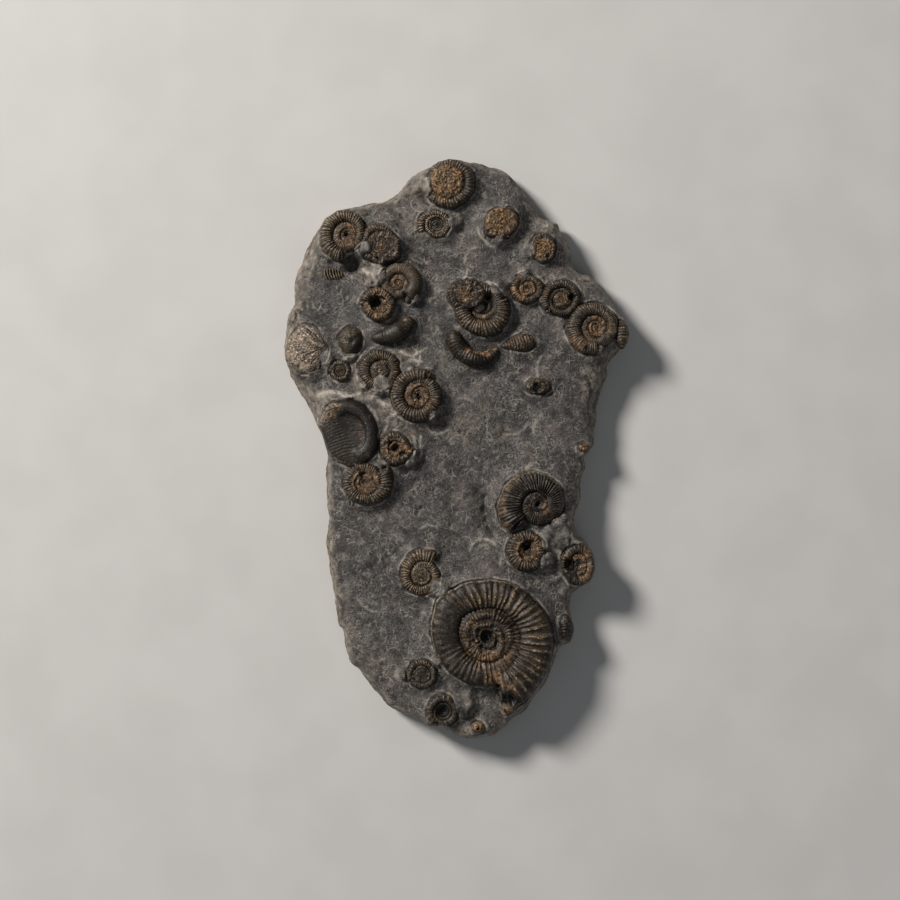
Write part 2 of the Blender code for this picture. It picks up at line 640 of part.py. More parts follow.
def make_arc(row, seat):
    """A coil standing on edge: an arched band, rounded over its back and thinning to both ends."""
    name, x, y, radius, width, first, last, height, widest, skin_name = row
    points = []
    for k, (px, py, ux, uy, half) in enumerate(arc_band(row, ARC_STATIONS)):
        rise = height * (0.3 + 0.7 * arc_swell(k / ARC_STATIONS, widest))
        for across, up in ARC_PROFILE:
            points.append((px + ux * half * across, py + uy * half * across, seat.height + GAP + rise * up))
    return add_object(name, points, bar_faces(ARC_STATIONS, len(ARC_PROFILE)), skin_name)


def bar_faces(steps, around):
    """Faces of a bar whose points come as equal sections, one more than its steps, with both ends closed."""
    last = (steps + 1) * around - 1
    faces = [tuple(range(around)), tuple(range(last, last - around, -1))]
    for k in range(steps):
        for j in range(around):
            a, b = k * around + j, k * around + (j + 1) % around
            faces.append((a, b, a + around))
            faces.append((b, b + around, a + around))
    return faces


def make_comb(seat):
    """The ribbed edge of a buried shell: a low bar with a sharp rib across it, again and again."""
    name, x, y, length, width, ribs, height, skin_name = COMB
    points = []
    steps = 2 * ribs
    for k in range(steps + 1):
        along = x - length / 2 + length * k / steps
        rise = height * (1.0 if k % 2 else COMB_GROOVE)
        for across, up in COMB_PROFILE:
            points.append((along, y + across * width, seat.height + GAP + rise * up))
    return add_object(name, points, bar_faces(steps, len(COMB_PROFILE)), skin_name)


def make_cutter(seat):
    """A tall prism on a seat's outline, for cutting the fossils behind it. It is a guide, not a piece."""
    count = len(seat.corners)
    points = [(x, y, z) for z in CUTTER_SPAN for x, y in seat.corners]
    faces = [tuple(range(count)), tuple(range(2 * count - 1, count - 1, -1))]
    for k in range(count):
        after = (k + 1) % count
        faces.append((k, after, after + count, k + count))
    made = add_object("cutter_" + seat.name, points, faces, "matrix")
    made.hide_render = True
    made.display_type = "WIRE"
    return made


def main():
    clear_scene()
    seats = {seat.name: seat for seat in make_seats()}
    make_slab(list(seats.values()))
    pieces = {}
    for shell in COILS:
        pieces[shell.name] = make_coil(shell, seats[shell.name])
    for row in LUMPS:
        pieces[row[0]] = make_lump(row, seats[row[0]])
    for row in ARCS:
        pieces[row[0]] = make_arc(row, seats[row[0]])
    pieces[COMB[0]] = make_comb(seats[COMB[0]])
    cutters = {}
    for behind, front in COVERED:
        if front not in cutters:
            cutters[front] = make_cutter(seats[front])
        cut = pieces[behind].modifiers.new("behind " + front, "BOOLEAN")
        cut.operation = "DIFFERENCE"
        cut.object = cutters[front]


main()
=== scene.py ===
"""The looks of a limestone slab crowded with ammonites, seen from straight above.

The fixed frame gives the height of each fossil's seat. Everything shown is mesh made here: one piece for
the stone and one for each fossil. Sizes are millimetres until a mesh is made. +Z is up.
"""
from dataclasses import dataclass
from functools import partial, reduce
from math import cos, log, pi, radians, sin

import bmesh
import bpy
import numpy as np
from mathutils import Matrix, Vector, noise
from mathutils.geometry import delaunay_2d_cdt


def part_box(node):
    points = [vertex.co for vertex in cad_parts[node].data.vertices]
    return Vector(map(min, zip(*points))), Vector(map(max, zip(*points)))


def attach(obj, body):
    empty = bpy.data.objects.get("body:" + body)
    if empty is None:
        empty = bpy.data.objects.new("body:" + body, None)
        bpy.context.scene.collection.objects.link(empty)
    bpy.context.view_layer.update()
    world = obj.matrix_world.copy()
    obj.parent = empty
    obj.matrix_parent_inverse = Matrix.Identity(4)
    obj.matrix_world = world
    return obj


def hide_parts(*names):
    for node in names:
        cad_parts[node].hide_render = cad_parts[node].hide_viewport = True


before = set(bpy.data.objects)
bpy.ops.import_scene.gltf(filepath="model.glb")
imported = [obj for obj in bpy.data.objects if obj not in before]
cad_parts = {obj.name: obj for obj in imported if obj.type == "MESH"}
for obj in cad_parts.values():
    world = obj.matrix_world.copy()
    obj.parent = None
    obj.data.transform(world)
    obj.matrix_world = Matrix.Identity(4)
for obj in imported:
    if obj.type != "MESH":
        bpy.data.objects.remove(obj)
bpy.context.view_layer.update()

MM = 0.001
SEED = 7
SEED_STEP = 17.31       # how far apart in the noise the places for two seeds lie
PATCH_SPREAD = 1.3      # a soft round patch fades out at this many times its radius
FAR = 1e9               # farther than anything here
TINY = 1e-6             # keeps a divisor from nought

# The slab, as in the model of its solids
OUTLINE = (
    (-3, 189.5), (4, 189.5), (15, 188.5), (20.5, 186.5), (29.5, 183.5), (35.5, 180), (39, 175.5),
    (43.5, 170.5), (46.5, 164.5), (51, 159.5), (55, 153), (62.5, 150.5), (66, 149), (68.5, 142), (73, 136),
    (75.5, 130), (75.5, 122.5), (81, 116.5), (88, 114.5), (94, 108), (99.5, 100.5), (105.5, 92), (111, 86),
    (112.5, 77.5), (112, 73), (107, 66), (102, 60.5), (99, 55), (98.5, 49.5), (94.5, 38.5), (92, 30.5),
    (92, 19.5), (90, 12), (90, 4.5), (86.5, -0.5), (83.5, -5), (84.5, -11.5), (81.5, -20), (81, -32.5),
    (77.5, -41), (77, -47), (79, -55.5), (83.5, -59), (89, -67.5), (90, -77), (88, -82.5), (82, -89),
    (75.5, -94.5), (74.5, -101), (75, -107.5), (77, -115.5), (74.5, -125.5), (68, -129), (64.5, -136.5),
    (61.5, -146.5), (56, -156), (50, -162.5), (46.5, -169), (37, -176.5), (30, -183), (23, -187.5),
    (10, -189.5), (4, -189), (-4.5, -185), (-10, -181.5), (-19.5, -181), (-25, -176), (-34.5, -173.5),
    (-44.5, -168), (-51, -160.5), (-59, -151.5), (-64, -144), (-69.5, -139.5), (-73.5, -128.5),
    (-74.5, -119), (-78, -113.5), (-79.5, -100.5), (-81.5, -87.5), (-83.5, -74.5), (-85.5, -61.5),
    (-84, -45.5), (-85.5, -32.5), (-85.5, -13), (-84.5, -2), (-88, 9.5), (-93, 19), (-98.5, 31.5),
    (-104.5, 40), (-109, 49.5), (-112, 62), (-112.5, 75), (-111, 87.5), (-107.5, 94), (-107, 104),
    (-106, 114.5), (-102.5, 122.5), (-98, 132), (-94, 141), (-89, 147.5), (-85.5, 152.5), (-76, 156),
    (-68, 159.5), (-57.5, 162), (-47.5, 163.5), (-39.5, 168), (-35.5, 172.5), (-30.5, 178.5),
    (-22.5, 183.5), (-11, 188))
THICKNESS = 25.0
EDGE_DROP = 3.0         # the top falls this much towards its edge
EDGE_REACH = 16.0       # over this distance
WIDEST_AT = 9.0         # height of the slab's widest line, which is the outline
BACK_INSET = 5.0        # the back lies this far inside it
BEVEL = 3.0             # and so far does the top's rim
LEFT_BEVEL = 9.0        # on a stretch on the left
RIGHT_BEVEL = 5.5       # and on the right
# Swells and dips of the top: x, y, radius, rise
SWELLS = (
    (29, 146, 18, 2), (5, 147, 11, -2), (48, 149, 9, -2), (12, 88, 24, 3), (82, 86, 20, 3),
    (-62, 136, 22, 2), (-43, 93, 22, 3), (-36, 42, 22, 2.5), (-66, 0, 26, 3), (22, 20, 42, -1.5),
    (47, -42, 28, 3.5), (18, -119, 48, 2.5), (-52, -90, 36, -1.2), (-22, -80, 18, 1.5), (78, -74, 15, 1),
    (-96, 66, 22, 1), (-10, 175, 22, 1), (10, 50, 16, -1.5), (-82, 116, 12, -1))
SWAY = 1.2              # height of the top's slow rise and fall
SWAY_SIZE = 27.0        # and how far it is across
SWAY_SLICE = 3.0        # level at which its noise is cut

# The trench left of ammonite_21, and its deepest part, against the shell
TRENCH = ((14, -30), (15, -40), (18, -49), (23, -54))
TRENCH_NEAR = ((18.5, -31), (18.5, -40), (20.5, -47), (24, -53))
TRENCH_DEPTH = 3.0
TRENCH_WIDTH = 4.5
TRENCH_NEAR_DEPTH = 1.7 * TRENCH_DEPTH
TRENCH_NEAR_WIDTH = 2.4
SKIRT = 8.0             # the stone rises or falls to a fossil's seat over this distance
GAP = 0.3               # clearance that the solids keep

# The mesh of the stone
HALF_LENGTH = 190       # its grids of points reach this far
HALF_WIDTH = 112
BACK_HALF_WIDTH = 110
FINE = 1.05             # spacing of points on the top
RIM_STEP = 1.1          # and along its rim
SIDE_RINGS = 12
BACK_STEP = 4.0
COLLAR_STEP = 0.75      # spacing of points along the fossils' outlines
COLLAR = (-0.7, 0.0, 0.5, 1.0, 1.6, 2.4)    # distances from an outline at which the stone has points
COLLAR_SHAKE = 0.12     # these are shaken by this much
COLLAR_DEEPEST = -0.9   # none of them lies farther inside any fossil
GRID_SHAKE = 0.3        # the grid's points are shaken by this share of their spacing
HIDDEN_STEP = 5 * FINE  # spacing where a fossil hides the stone
COVER_SPREAD = 1.5      # fine points lie within this many times the radius of stone over a fossil
COARSE = 6              # every so many points of the rim make a rougher line, to measure from
RIM_CLEAR = 0.7         # no inner point is nearer to it
BACK_CLEAR = 2          # nor to the back's edge
RAY_LENGTH = 2.2        # a fossil's outline is looked for as far out as this many times its reach
RAY_HALVINGS = 14       # how often the search halves its way
ARCH_CHECKED = 15       # places along an arch that its distance is taken from
UPPER_SHARE = 0.7       # share of the side's rings above its widest line

# The surface of the stone
GROOVE_DEPTH = 1.0      # depth of the gap left round a fossil, whose stone is also painted dark as shade
GROOVE_AT = 0.35        # distance of its middle from the fossil
GROOVE_WIDTH = 0.55
LIP_HEIGHT = 0.55       # the pale lip of stone beyond it
LIP_AT = 1.2
LIP_WIDTH = 0.5
EMBED = 1.9             # the stone swells up this far against the fossils
EMBED_REACH = 5.0       # and less farther away
UNDER = 3.0             # and lies this far below their seats where they hide it
RIM_PALE = 7.0          # the stone is beige in places within this distance of its outline
RIM_SAG = 0.8           # the rim lies this much below the solid's top, so that rock stays inside it
CRACK_WIDTH = 0.8       # half width
CRACK_DEPTH = 1.3
SIDE_CRACK = 0.6        # depth of a crack down the side
RIDGE_WIDTH = 0.7       # half width of the thin raised curves
UNEVEN_UP_TO = 22       # coils of a larger radius than this have a less uneven edge


@dataclass
class Coil:
    """One ammonite on its side. Angles are degrees anticlockwise from +X, lengths millimetres."""
    node: str
    x: float
    y: float
    mouth: float                # where the last whorl ends
    hand: int                   # 1 grows anticlockwise, -1 clockwise
    edge: tuple                 # (degrees back from the mouth, outer radius), the last one a full turn back
    seam: float                 # radius of the inner seam of a whorl over its outer radius
    high: float                 # crest of the last whorl above the seat
    ribs: int                   # in one turn
    depth: float                # of the grooves between them
    gold: float = 0.2           # how golden the whorls are, 0 to 1
    core: float = 0.5           # share of the radius within which the middle is golden
    grain: float = 0.15         # height of the crumbs on the surface
    tone: float = 0.3           # 0 black, 1 pale taupe
    tilt: tuple = (0.0, 0.0)    # rise towards +X and +Y per millimetre
    narrow: float = 1.0         # width over length of a coil seen squashed
    turned: float = 0.0         # and the direction of its length
    hole: float = 0.0           # share of the radius that is a sunk hollow in the middle, painted black as shade
    pits: float = 0.0           # how far the middle is sunk, as a share of the height
    fill: float = 0.9           # how far crumbs fill the seams in the middle
    level: float = 0.0          # share of the radius they fill, where that is more than the golden middle

    @property
    def full(self):
        """Outer radius at the mouth."""
        return self.edge[0][1]

    @property
    def filled(self):
        """Radius of the filled middle."""
        return self.full * max(self.core, self.level)


COILS = (
    Coil("large_ammonite", 19.5, -120.2, -78, -1,
         ((0, 52.7), (12, 50.7), (23, 48.6), (34, 46.4), (45, 45.6), (78, 43.0), (106, 39.3), (168, 36.4),
          (200, 36.9), (222, 39.9), (238, 37.6), (258, 36), (300, 33.6), (360, 31.9)),
         0.48, 13.0, 46, 1.9, 0.22, 0.0, 0.36, 0.3, hole=0.085, fill=0.75, level=0.33),
    Coil("ammonite_01", -5.9, 174.7, 215, -1,
         ((0, 16.8), (55, 17.2), (130, 18.0), (235, 14.5), (325, 12), (360, 11.5)),
         0.61, 6.0, 46, 0.6, 0.25, 0.66, 0.35, 0.4, level=0.62, fill=1.0),
    Coil("ammonite_02", -12.9, 146.5, 200, 1, ((0, 13.6), (110, 9.6), (200, 8.6), (360, 8.1)),
         0.62, 3.6, 38, 1.1, 0.12, 0.0, 0.06, 1.0, hole=0.4, fill=0.2),
    Coil("ammonite_03", 29.0, 147.6, 300, 1,
         ((0, 12.3), (40, 11.0), (80, 12.7), (120, 11.2), (160, 12.5), (200, 10.6), (250, 12.2), (300, 10.7),
          (360, 10.4)),
         0.62, 6.0, 0, 0.0, 0.25, 0.85, 0.6, 0.4, tilt=(-0.06, 0.05), narrow=0.9, turned=20,
         level=0.95, fill=1.0),
    Coil("ammonite_04", 56.0, 131.0, 170, 1, ((0, 10.8), (180, 10.2), (360, 9.0)),
         0.6, 5.0, 0, 0.0, 0.45, 0.7, 0.8, 0.3, narrow=0.78, turned=90, level=0.9, fill=1.0),
    Coil("ammonite_05", 6.5, 100.8, 250, 1, ((0, 12.8), (180, 12.6), (360, 11.6)),
         0.56, 8.5, 40, 0.55, 0.3, 0.5, 0.6, 0.3, narrow=0.82, tilt=(0.0, 0.05), level=0.9, fill=1.0),
    Coil("ammonite_06", 16.5, 92.6, 25, 1, ((0, 17.6), (90, 19.2), (180, 17.4), (360, 15)),
         0.44, 7.5, 44, 0.9, 0.3, 0.0, 0.15, 0.4, pits=0.5, hole=0.12),
    Coil("ammonite_07", 46.1, 105.2, 95, -1, ((0, 11.3), (120, 11.4), (360, 9.6)),
         0.5, 6.0, 40, 0.4, 0.5, 0.5, 0.45, 0.35, narrow=0.9),
    Coil("ammonite_08", 67.9, 98.0, 225, 1, ((0, 13.6), (130, 13.2), (250, 11.8), (360, 10.8)),
         0.56, 6.5, 48, 0.6, 0.05, 0.45, 0.2, 0.3, pits=0.3, level=0.45, fill=0.9),
    Coil("ammonite_09", 90.1, 79.9, 285, 1, ((0, 18.0), (105, 19.4), (195, 15.7), (285, 14.4), (360, 13.5)),
         0.47, 8.0, 60, 0.42, 0.12, 0.42, 0.25, 0.3, fill=0.45),
    Coil("ammonite_10", -71.7, 140.0, 268, 1,
         ((0, 17.4), (24, 18.4), (90, 17.2), (180, 15.9), (270, 12.2), (360, 11.4)),
         0.47, 8.0, 46, 0.75, 0.1, 0.47, 0.14, 0.85, hole=0.08),
    Coil("ammonite_11", -49.2, 132.1, 300, 1,
         ((0, 11.9), (27, 13), (62, 10.9), (104, 14.2), (136, 12.3), (180, 15.8), (218, 14.4), (253, 12),
          (280, 13.2), (300, 12.4), (330, 14.2), (360, 11.7)),
         0.6, 7.0, 46, 0.35, 0.3, 0.36, 0.7, 0.4, level=0.92, fill=1.0),
    Coil("ammonite_12", -38.4, 108.4, 294, -1, ((0, 14.5), (60, 16.0), (140, 13.6), (250, 11), (360, 10)),
         0.42, 7.0, 60, 0.12, 0.0, 0.42, 0.14, 0.85),
    Coil("ammonite_13", -50.8, 94.4, 180, 1, ((0, 12.0), (180, 11.4), (360, 10.2)),
         0.5, 7.5, 34, 0.6, 0.4, 0.7, 0.75, 0.3, pits=0.6),
    Coil("ammonite_14", -75.9, 51.5, 200, 1, ((0, 7.4), (180, 7.0), (360, 6.2)),
         0.52, 4.0, 26, 0.25, 0.05, 0.0, 0.3, 0.45, fill=0.75, level=0.55),
    Coil("ammonite_16", -49.4, 51.6, 20, -1, ((0, 13.0), (70, 13.9), (160, 14.8), (360, 11.8)),
         0.46, 5.5, 46, 0.8, 0.25, 0.2, 0.35, 0.55, level=0.5),
    Coil("ammonite_17", -25.3, 35.7, 58, -1,
         ((0, 17.8), (32, 17.9), (122, 17.4), (212, 17.2), (302, 15.3), (360, 13.8)),
         0.48, 8.0, 45, 0.8, 0.04, 0.5, 0.14, 0.4, hole=0.06),
    Coil("ammonite_19", -39.6, 1.6, 0, 1,
         ((0, 12.4), (50, 10.4), (110, 12.0), (170, 10.0), (240, 11.4), (300, 9.2), (360, 9.6)),
         0.5, 6.0, 36, 0.25, 0.2, 0.62, 0.9, 0.3, pits=0.3, hole=0.22),
    Coil("ammonite_20", -59.3, -20.6, 40, 1,
         ((0, 18.6), (40, 17.9), (130, 14.6), (220, 14.4), (310, 12.2), (360, 12)),
         0.5, 7.0, 44, 0.8, 0.08, 0.52, 0.18, 0.35),
    Coil("ammonite_21", 52.6, -34.9, 227, 1,
         ((0, 26.4), (47, 26.6), (137, 20.4), (227, 16.8), (300, 13.8), (360, 12.8)),
         0.37, 9.5, 52, 1.4, 0.02, 0.34, 0.15, 0.0, hole=0.06, fill=0.6),
    Coil("ammonite_22", 45.6, -64.6, 330, 1, ((0, 14.2), (60, 13.8), (150, 13.6), (360, 11.4)),
         0.44, 6.5, 36, 0.7, 0.2, 0.62, 0.6, 0.2, pits=0.3),
    Coil("ammonite_23", 79.0, -74.4, 250, 1, ((0, 14.8), (180, 14.6), (360, 13)),
         0.5, 7.0, 34, 0.3, 0.4, 0.55, 0.5, 0.25, narrow=0.76, turned=98),
    Coil("ammonite_24", -22.5, -81.2, 52, -1,
         ((0, 17.2), (38, 17.0), (125, 14.0), (195, 13.2), (305, 11.4), (360, 11)),
         0.5, 6.0, 43, 0.9, 0.2, 0.0, 0.15, 0.85, fill=0.8, level=0.42),
    Coil("ammonite_25", -22.5, -145.7, 220, 1, ((0, 10.2), (180, 10.0), (360, 8.8)),
         0.56, 5.5, 40, 0.45, 0.0, 0.0, 0.25, 0.35, fill=0.8, level=0.7),
    Coil("ammonite_26", -9.0, -169.6, 250, 1, ((0, 11.0), (180, 10.8), (360, 9)),
         0.55, 5.0, 20, 0.12, 0.1, 0.0, 0.12, 0.2, pits=0.5, hole=0.4, fill=0.2))


def smoothstep(value):
    value = np.clip(value, 0.0, 1.0)
    return value * value * (3 - 2 * value)


def mix(first, second, share):
    return first + (second - first) * share


def grain(points, size, seed=0.0):
    """Even noise from about -1 to 1 at each point, with bumps about that many millimetres across."""
    scaled = np.asarray(points, float) / size + seed * SEED_STEP
    if scaled.shape[1] == 2:
        scaled = np.column_stack((scaled, np.full(len(scaled), seed)))
    return np.array([noise.noise(Vector(place)) for place in scaled])


def listed(*grids):
    """Rows of numbers, one for each place of some grids of the same shape."""
    return np.column_stack([grid.ravel() for grid in grids])


def plan_distance(points, x, y):
    return np.hypot(points[:, 0] - x, points[:, 1] - y)


def bearing_from(points, x, y):
    """Direction of each point from a place, in radians."""
    return np.arctan2(points[:, 1] - y, points[:, 0] - x)


def local_axes(points, x, y, turned):
    """How far each point lies from a place along a direction and across it."""
    turn = radians(turned)
    dx, dy = points[:, 0] - x, points[:, 1] - y
    return dx * cos(turn) + dy * sin(turn), dy * cos(turn) - dx * sin(turn)


def spread(points, x, y, radius):
    """1 at a place, falling smoothly to nothing at that radius."""
    return smoothstep(1 - plan_distance(points, x, y) / radius)


def strongest_at(points, patches):
    """The strongest of a list of soft round patches at each point."""
    found = np.zeros(len(points))
    for x, y, reach, strength in patches:
        found = np.maximum(found, strength * spread(points, x, y, reach * PATCH_SPREAD))
    return found


def ragged_spots(points, spots, ragged, edge, fall):
    """How far round spots with ragged edges cover each point, 0 to 1, and this times a spot's own amount."""
    covered, amount = np.zeros(len(points)), np.zeros(len(points))
    for x, y, reach, most in spots:
        share = smoothstep((edge - plan_distance(points, x, y) / (reach * ragged)) / fall)
        covered = np.maximum(covered, share)
        amount = np.maximum(amount, share * most)
    return covered, amount


def arc_share(angle, first, last, power):
    """1 along an arc from one angle to another, in degrees, falling to nothing at its ends."""
    share = ((angle - first) % 360) / ((last - first) % 360)
    return np.where(share < 1, np.sin(pi * np.clip(share, 0, 1)) ** power, 0)


# Distances in plan

def line_distance(points, line):
    """Distance of each point from a chain of straight pieces."""
    nearest = np.full(len(points), FAR)
    for (ax, ay), (bx, by) in zip(line, line[1:]):
        along = (points[:, 0] - ax) * (bx - ax) + (points[:, 1] - ay) * (by - ay)
        along = np.clip(along / ((bx - ax) ** 2 + (by - ay) ** 2), 0, 1)
        away = np.hypot(points[:, 0] - ax - (bx - ax) * along, points[:, 1] - ay - (by - ay) * along)
        nearest = np.minimum(nearest, away)
    return nearest


def loop_distance(points, loop):
    """Distance of each point from a closed line."""
    return line_distance(points, loop + loop[:1])


def within(points, polygon):
    """Whether each point lies inside a closed line."""
    odd = np.zeros(len(points), bool)
    for (ax, ay), (bx, by) in zip(polygon, polygon[1:] + polygon[:1]):
        if ay == by:
            continue
        crosses = (ay > points[:, 1]) != (by > points[:, 1])
        odd ^= crosses & (points[:, 0] < ax + (points[:, 1] - ay) / (by - ay) * (bx - ax))
    return odd


def edge_radius(coil, behind):
    """Outer radius of the last whorl a number of degrees back from the mouth, up to a full turn."""
    steps, radii = zip(*coil.edge)
    return np.interp(behind, steps, radii)


def squash(coil, angle):
    """How much nearer an outline comes in one direction, for a coil seen squashed, with its uneven edge."""
    along = np.radians(angle - coil.turned)
    uneven = 0.016 * np.sin(3 * along + coil.x) + 0.014 * np.sin(7 * along + coil.y)
    uneven += 0.010 * np.sin(13 * along + 2 * coil.x) + 0.006 * np.sin(23 * along + coil.y)
    uneven *= min(1.0, UNEVEN_UP_TO / coil.full)
    return (1 + uneven) / np.hypot(np.cos(along), np.sin(along) / coil.narrow)


def coil_away(coil, points):
    """Distance outside a coil's outline, negative within it."""
    angle = np.degrees(bearing_from(points, coil.x, coil.y))
    behind = ((coil.mouth - angle) * coil.hand) % 360
    return plan_distance(points, coil.x, coil.y) - edge_radius(coil, behind) * squash(coil, angle)


@dataclass
class Lump:
    """A piece of shell that stands as a rounded or worn lump on an oval."""
    node: str
    x: float
    y: float
    long: float                 # half length
    wide: float                 # half width
    turned: float
    high: float
    ribs: float = 2.2           # spacing of its ribs
    depth: float = 0.4
    gold: float = 0.2
    crumbs: float = 0.3
    tone: float = 0.3
    lean: float = 0.0           # how far its crest lies towards one side, -1 to 1
    taper: float = 0.0          # how much wider it is at its far end than in its middle, as a share


LUMPS = (
    Lump("shell_fragment_01", 107.0, 75.6, 9.4, 4.6, 94, 5.5, 2.0, 0.5, 0.15, 0.3, 0.25),
    Lump("shell_fragment_02", 39.6, 69.4, 11.8, 5.2, 10, 5.0, 1.9, 0.4, 0.3, 0.35, 0.35, 0.4, 0.55),
    Lump("shell_fragment_03", 52.8, 41.8, 9.0, 5.4, 5, 4.2, 3.0, 0.1, 0.1, 0.8, 0.45, 0.5),
    Lump("shell_fragment_04", -69.3, 71.3, 9.6, 7.9, 84, 6.5, 1.9, 0.13, 0.0, 0.12, 0.35, 0.4),
    Lump("shell_fragment_05", 13.8, -180.4, 4.4, 4.2, 0, 4.2, 2.0, 0.1, 0.75, 0.4, 0.7),
    Lump("shell_fragment_06", 71.0, -115.6, 9.2, 4.6, 95, 5.0, 1.9, 0.35, 0.05, 0.3, 0.1),
    Lump("shell_fragment_07", 82.4, 1.6, 4.0, 3.6, 0, 3.5, 2.0, 0.2, 0.5, 0.6, 0.2),
    Lump("shell_fragment_08", -105.8, 87.0, 4.2, 2.2, 80, 2.5, 3.0, 0.0, 0.0, 0.1, 0.4))


# Pits in the lumps, sunk and painted dark as shade: how far right and up of the middle, radius, depth
PITS = {"shell_fragment_05": (0.0, -0.6, 1.5, 2.2), "shell_fragment_03": (-0.6, -1.2, 5.0, 3.2)}


@dataclass
class Arch:
    """A coil that stands on edge, so that only an arc of it shows."""
    node: str
    x: float
    y: float
    radius: float
    width: float
    first: float
    last: float
    high: float
    gold: float
    tone: float
    widest: float               # where along it, as a share
    groove: float               # depth between its ribs
    golden_from: float          # share of its length where its crumbling inner side begins
    golden_to: float            # and how far that side reaches across it, -1 to 1


ARCH_RIB = 2.0          # spacing of the ribs on them
ARCHES = (
    Arch("ammonite_27", 14.0, 75.5, 15.7, 11.5, 170, 324, 8.5, 0.1, 0.2, 0.36, 0.2, 0.3, 0.2),
    Arch("ammonite_28", -51.9, 99.1, 26.0, 12.4, 262, 330, 8.0, 0.0, 0.5, 0.55, 0.06, 0.7, -0.1))

COMB = ("shell_fragment_09", -80.7, 114.4, 14.5, 9.0, 8, 3.0)      # x, y, length, width, ribs, height
WORN = ("ammonite_15", -97.6, 65.2, 13.9, 16.2, 0, 5.5)             # x, y, half sizes, turned, height
IMPRINT = ("ammonite_18", -70.0, 11.5, 23.0, 0.83, 113, 9.0)        # the same, with width over half length
IMPRINT_MARGIN = 1.3        # it stops this far inside the slab's outline
IMPRINT_CHECKED = 15.0      # farther from it than this, the slab's side makes no difference

# Stone that rises over parts of the fossils: x, y, how far it spreads, how high it stands above the seats
COVERS = (
    (-60.5, 131, 7.5, 9), (-50, 113.5, 9, 8.5), (-49, 43, 10, 6.5), (58.5, -72.5, 7, 7), (70, -53, 14, 10),
    (-12, -89, 8.5, 7), (-21, 172, 8.5, 6.5), (-0.6, 149, 6, 4), (27, 105, 7.5, 8), (44, 113.5, 5, 6.5),
    (-69, 60.5, 4.5, 4.5), (27.5, 136.5, 5.5, 6), (0.5, 68, 4, 3.5), (-16.5, 23, 6, 6.5), (-27, 98, 5, 5.5),
    (-62, 69, 5, 3), (47.5, 130, 7, 5.5), (56, 98, 3.5, 5), (-36, -146, 5, 4.5), (-14, -138, 4, 4.5),
    (-84.5, 60, 6.5, 5.5), (90, -85, 4, 5), (-29, -6, 6.5, 5), (-61, 43, 6, 5), (5, -165, 9, 7),
    (92, 66, 6, 6), (-31.5, 52.5, 4.5, 4.5), (14, 92.5, 5, 5.5), (57.5, -60.5, 5.5, 5.5))

# Beige patches of the stone: x, y, radius, strength
BEIGE = (
    (4, 12, 12, 0.5), (18, 26, 6, 0.5), (31, 10, 8, 0.4), (-1, -34, 6, 0.4), (-20, 172, 9, 0.9),
    (-78, -95, 14, 0.5), (-76, -120, 14, 0.5), (91, 43, 16, 0.8), (84, 115, 14, 0.7), (-100, 120, 13, 0.7),
    (-108, 88, 14, 0.8), (-104, 45, 12, 0.7), (-100, 136, 12, 0.6), (-60, 118, 10, 0.5), (-62, 46, 8, 0.8),
    (-92, 34, 12, 0.5), (14, 84, 6, 0.3), (82, -86, 9, 0.5), (70, -140, 9, 0.4), (40, -178, 12, 0.5),
    (46, -8, 7, 0.4), (-20, 22, 10, 0.5), (-35, 62, 10, 0.5), (-52, -135, 16, 0.35), (8, -184, 10, 0.6),
    (-90, 22, 9, 0.6), (-46, 24, 8, 0.9), (-36, 18, 7, 0.8), (-30, 12, 7, 0.6), (-58, 36, 8, 0.8),
    (-86, 34, 8, 0.9), (-52, 110, 8, 0.6), (100, 62, 9, 0.5), (60, 148, 9, 0.5), (-30, 150, 20, 0.35),
    (-65, 158, 14, 0.4), (-8, 60, 9, 0.4))

# Patches of the fossils, each x, y, radius, strength. Where they are golden:
GILT = (
    (7.3, -111.6, 4.5, 0.7), (6.7, -119.4, 4.5, 0.6), (24.9, -147.3, 8, 0.65), (34.6, -152, 5, 0.7),
    (30.4, -170, 8, 0.9), (31, -129.8, 8, 0.35), (28.1, -108.4, 5, 0.35), (16, -140, 8, 0.5),
    (-20.2, -93.6, 4, 1), (54, -46.8, 5, 0.9), (80.2, 70, 11, 0.65), (100.5, 79, 5.5, 0.6),
    (82.2, -80, 6, 0.9), (84, -66.5, 6, 0.5), (-54.7, 45.3, 3.2, 1), (40.8, 103.5, 6, 0.8),
    (-9, 163.5, 4, 0.9), (52, -62.5, 5, 0.7), (34, -22, 8, 0.5), (12, 66.5, 8, 0.7), (-15.5, 29, 5, 0.6),
    (-12.5, 38, 4, 0.6), (-84, 150, 9, 0.35), (-57, -3.5, 4, 0.6), (-14.4, -163.5, 4, 0.5),
    (16, 84, 6, 0.5), (8, -127, 6, 0.9), (15, -133, 7, 0.9), (23, -133, 7, 0.8), (28, -126, 5, 0.7),
    (11, -113, 5, 0.7), (-62.2, 9.3, 3.6, 0.8), (-64, 15.5, 3.2, 0.5), (-85, 26.5, 6, 0.9),
    (-77, 29.5, 5, 0.7), (38.5, -17, 4.5, 1.2), (33, -23.5, 4.5, 1), (30, -31, 4.5, 1), (29.8, -39, 4.5, 1),
    (-30.5, 2.5, 4.5, 0.8), (50.5, -58, 5, 0.9), (33, -47.5, 4.5, 1.2), (47.5, -12.8, 4, 1))
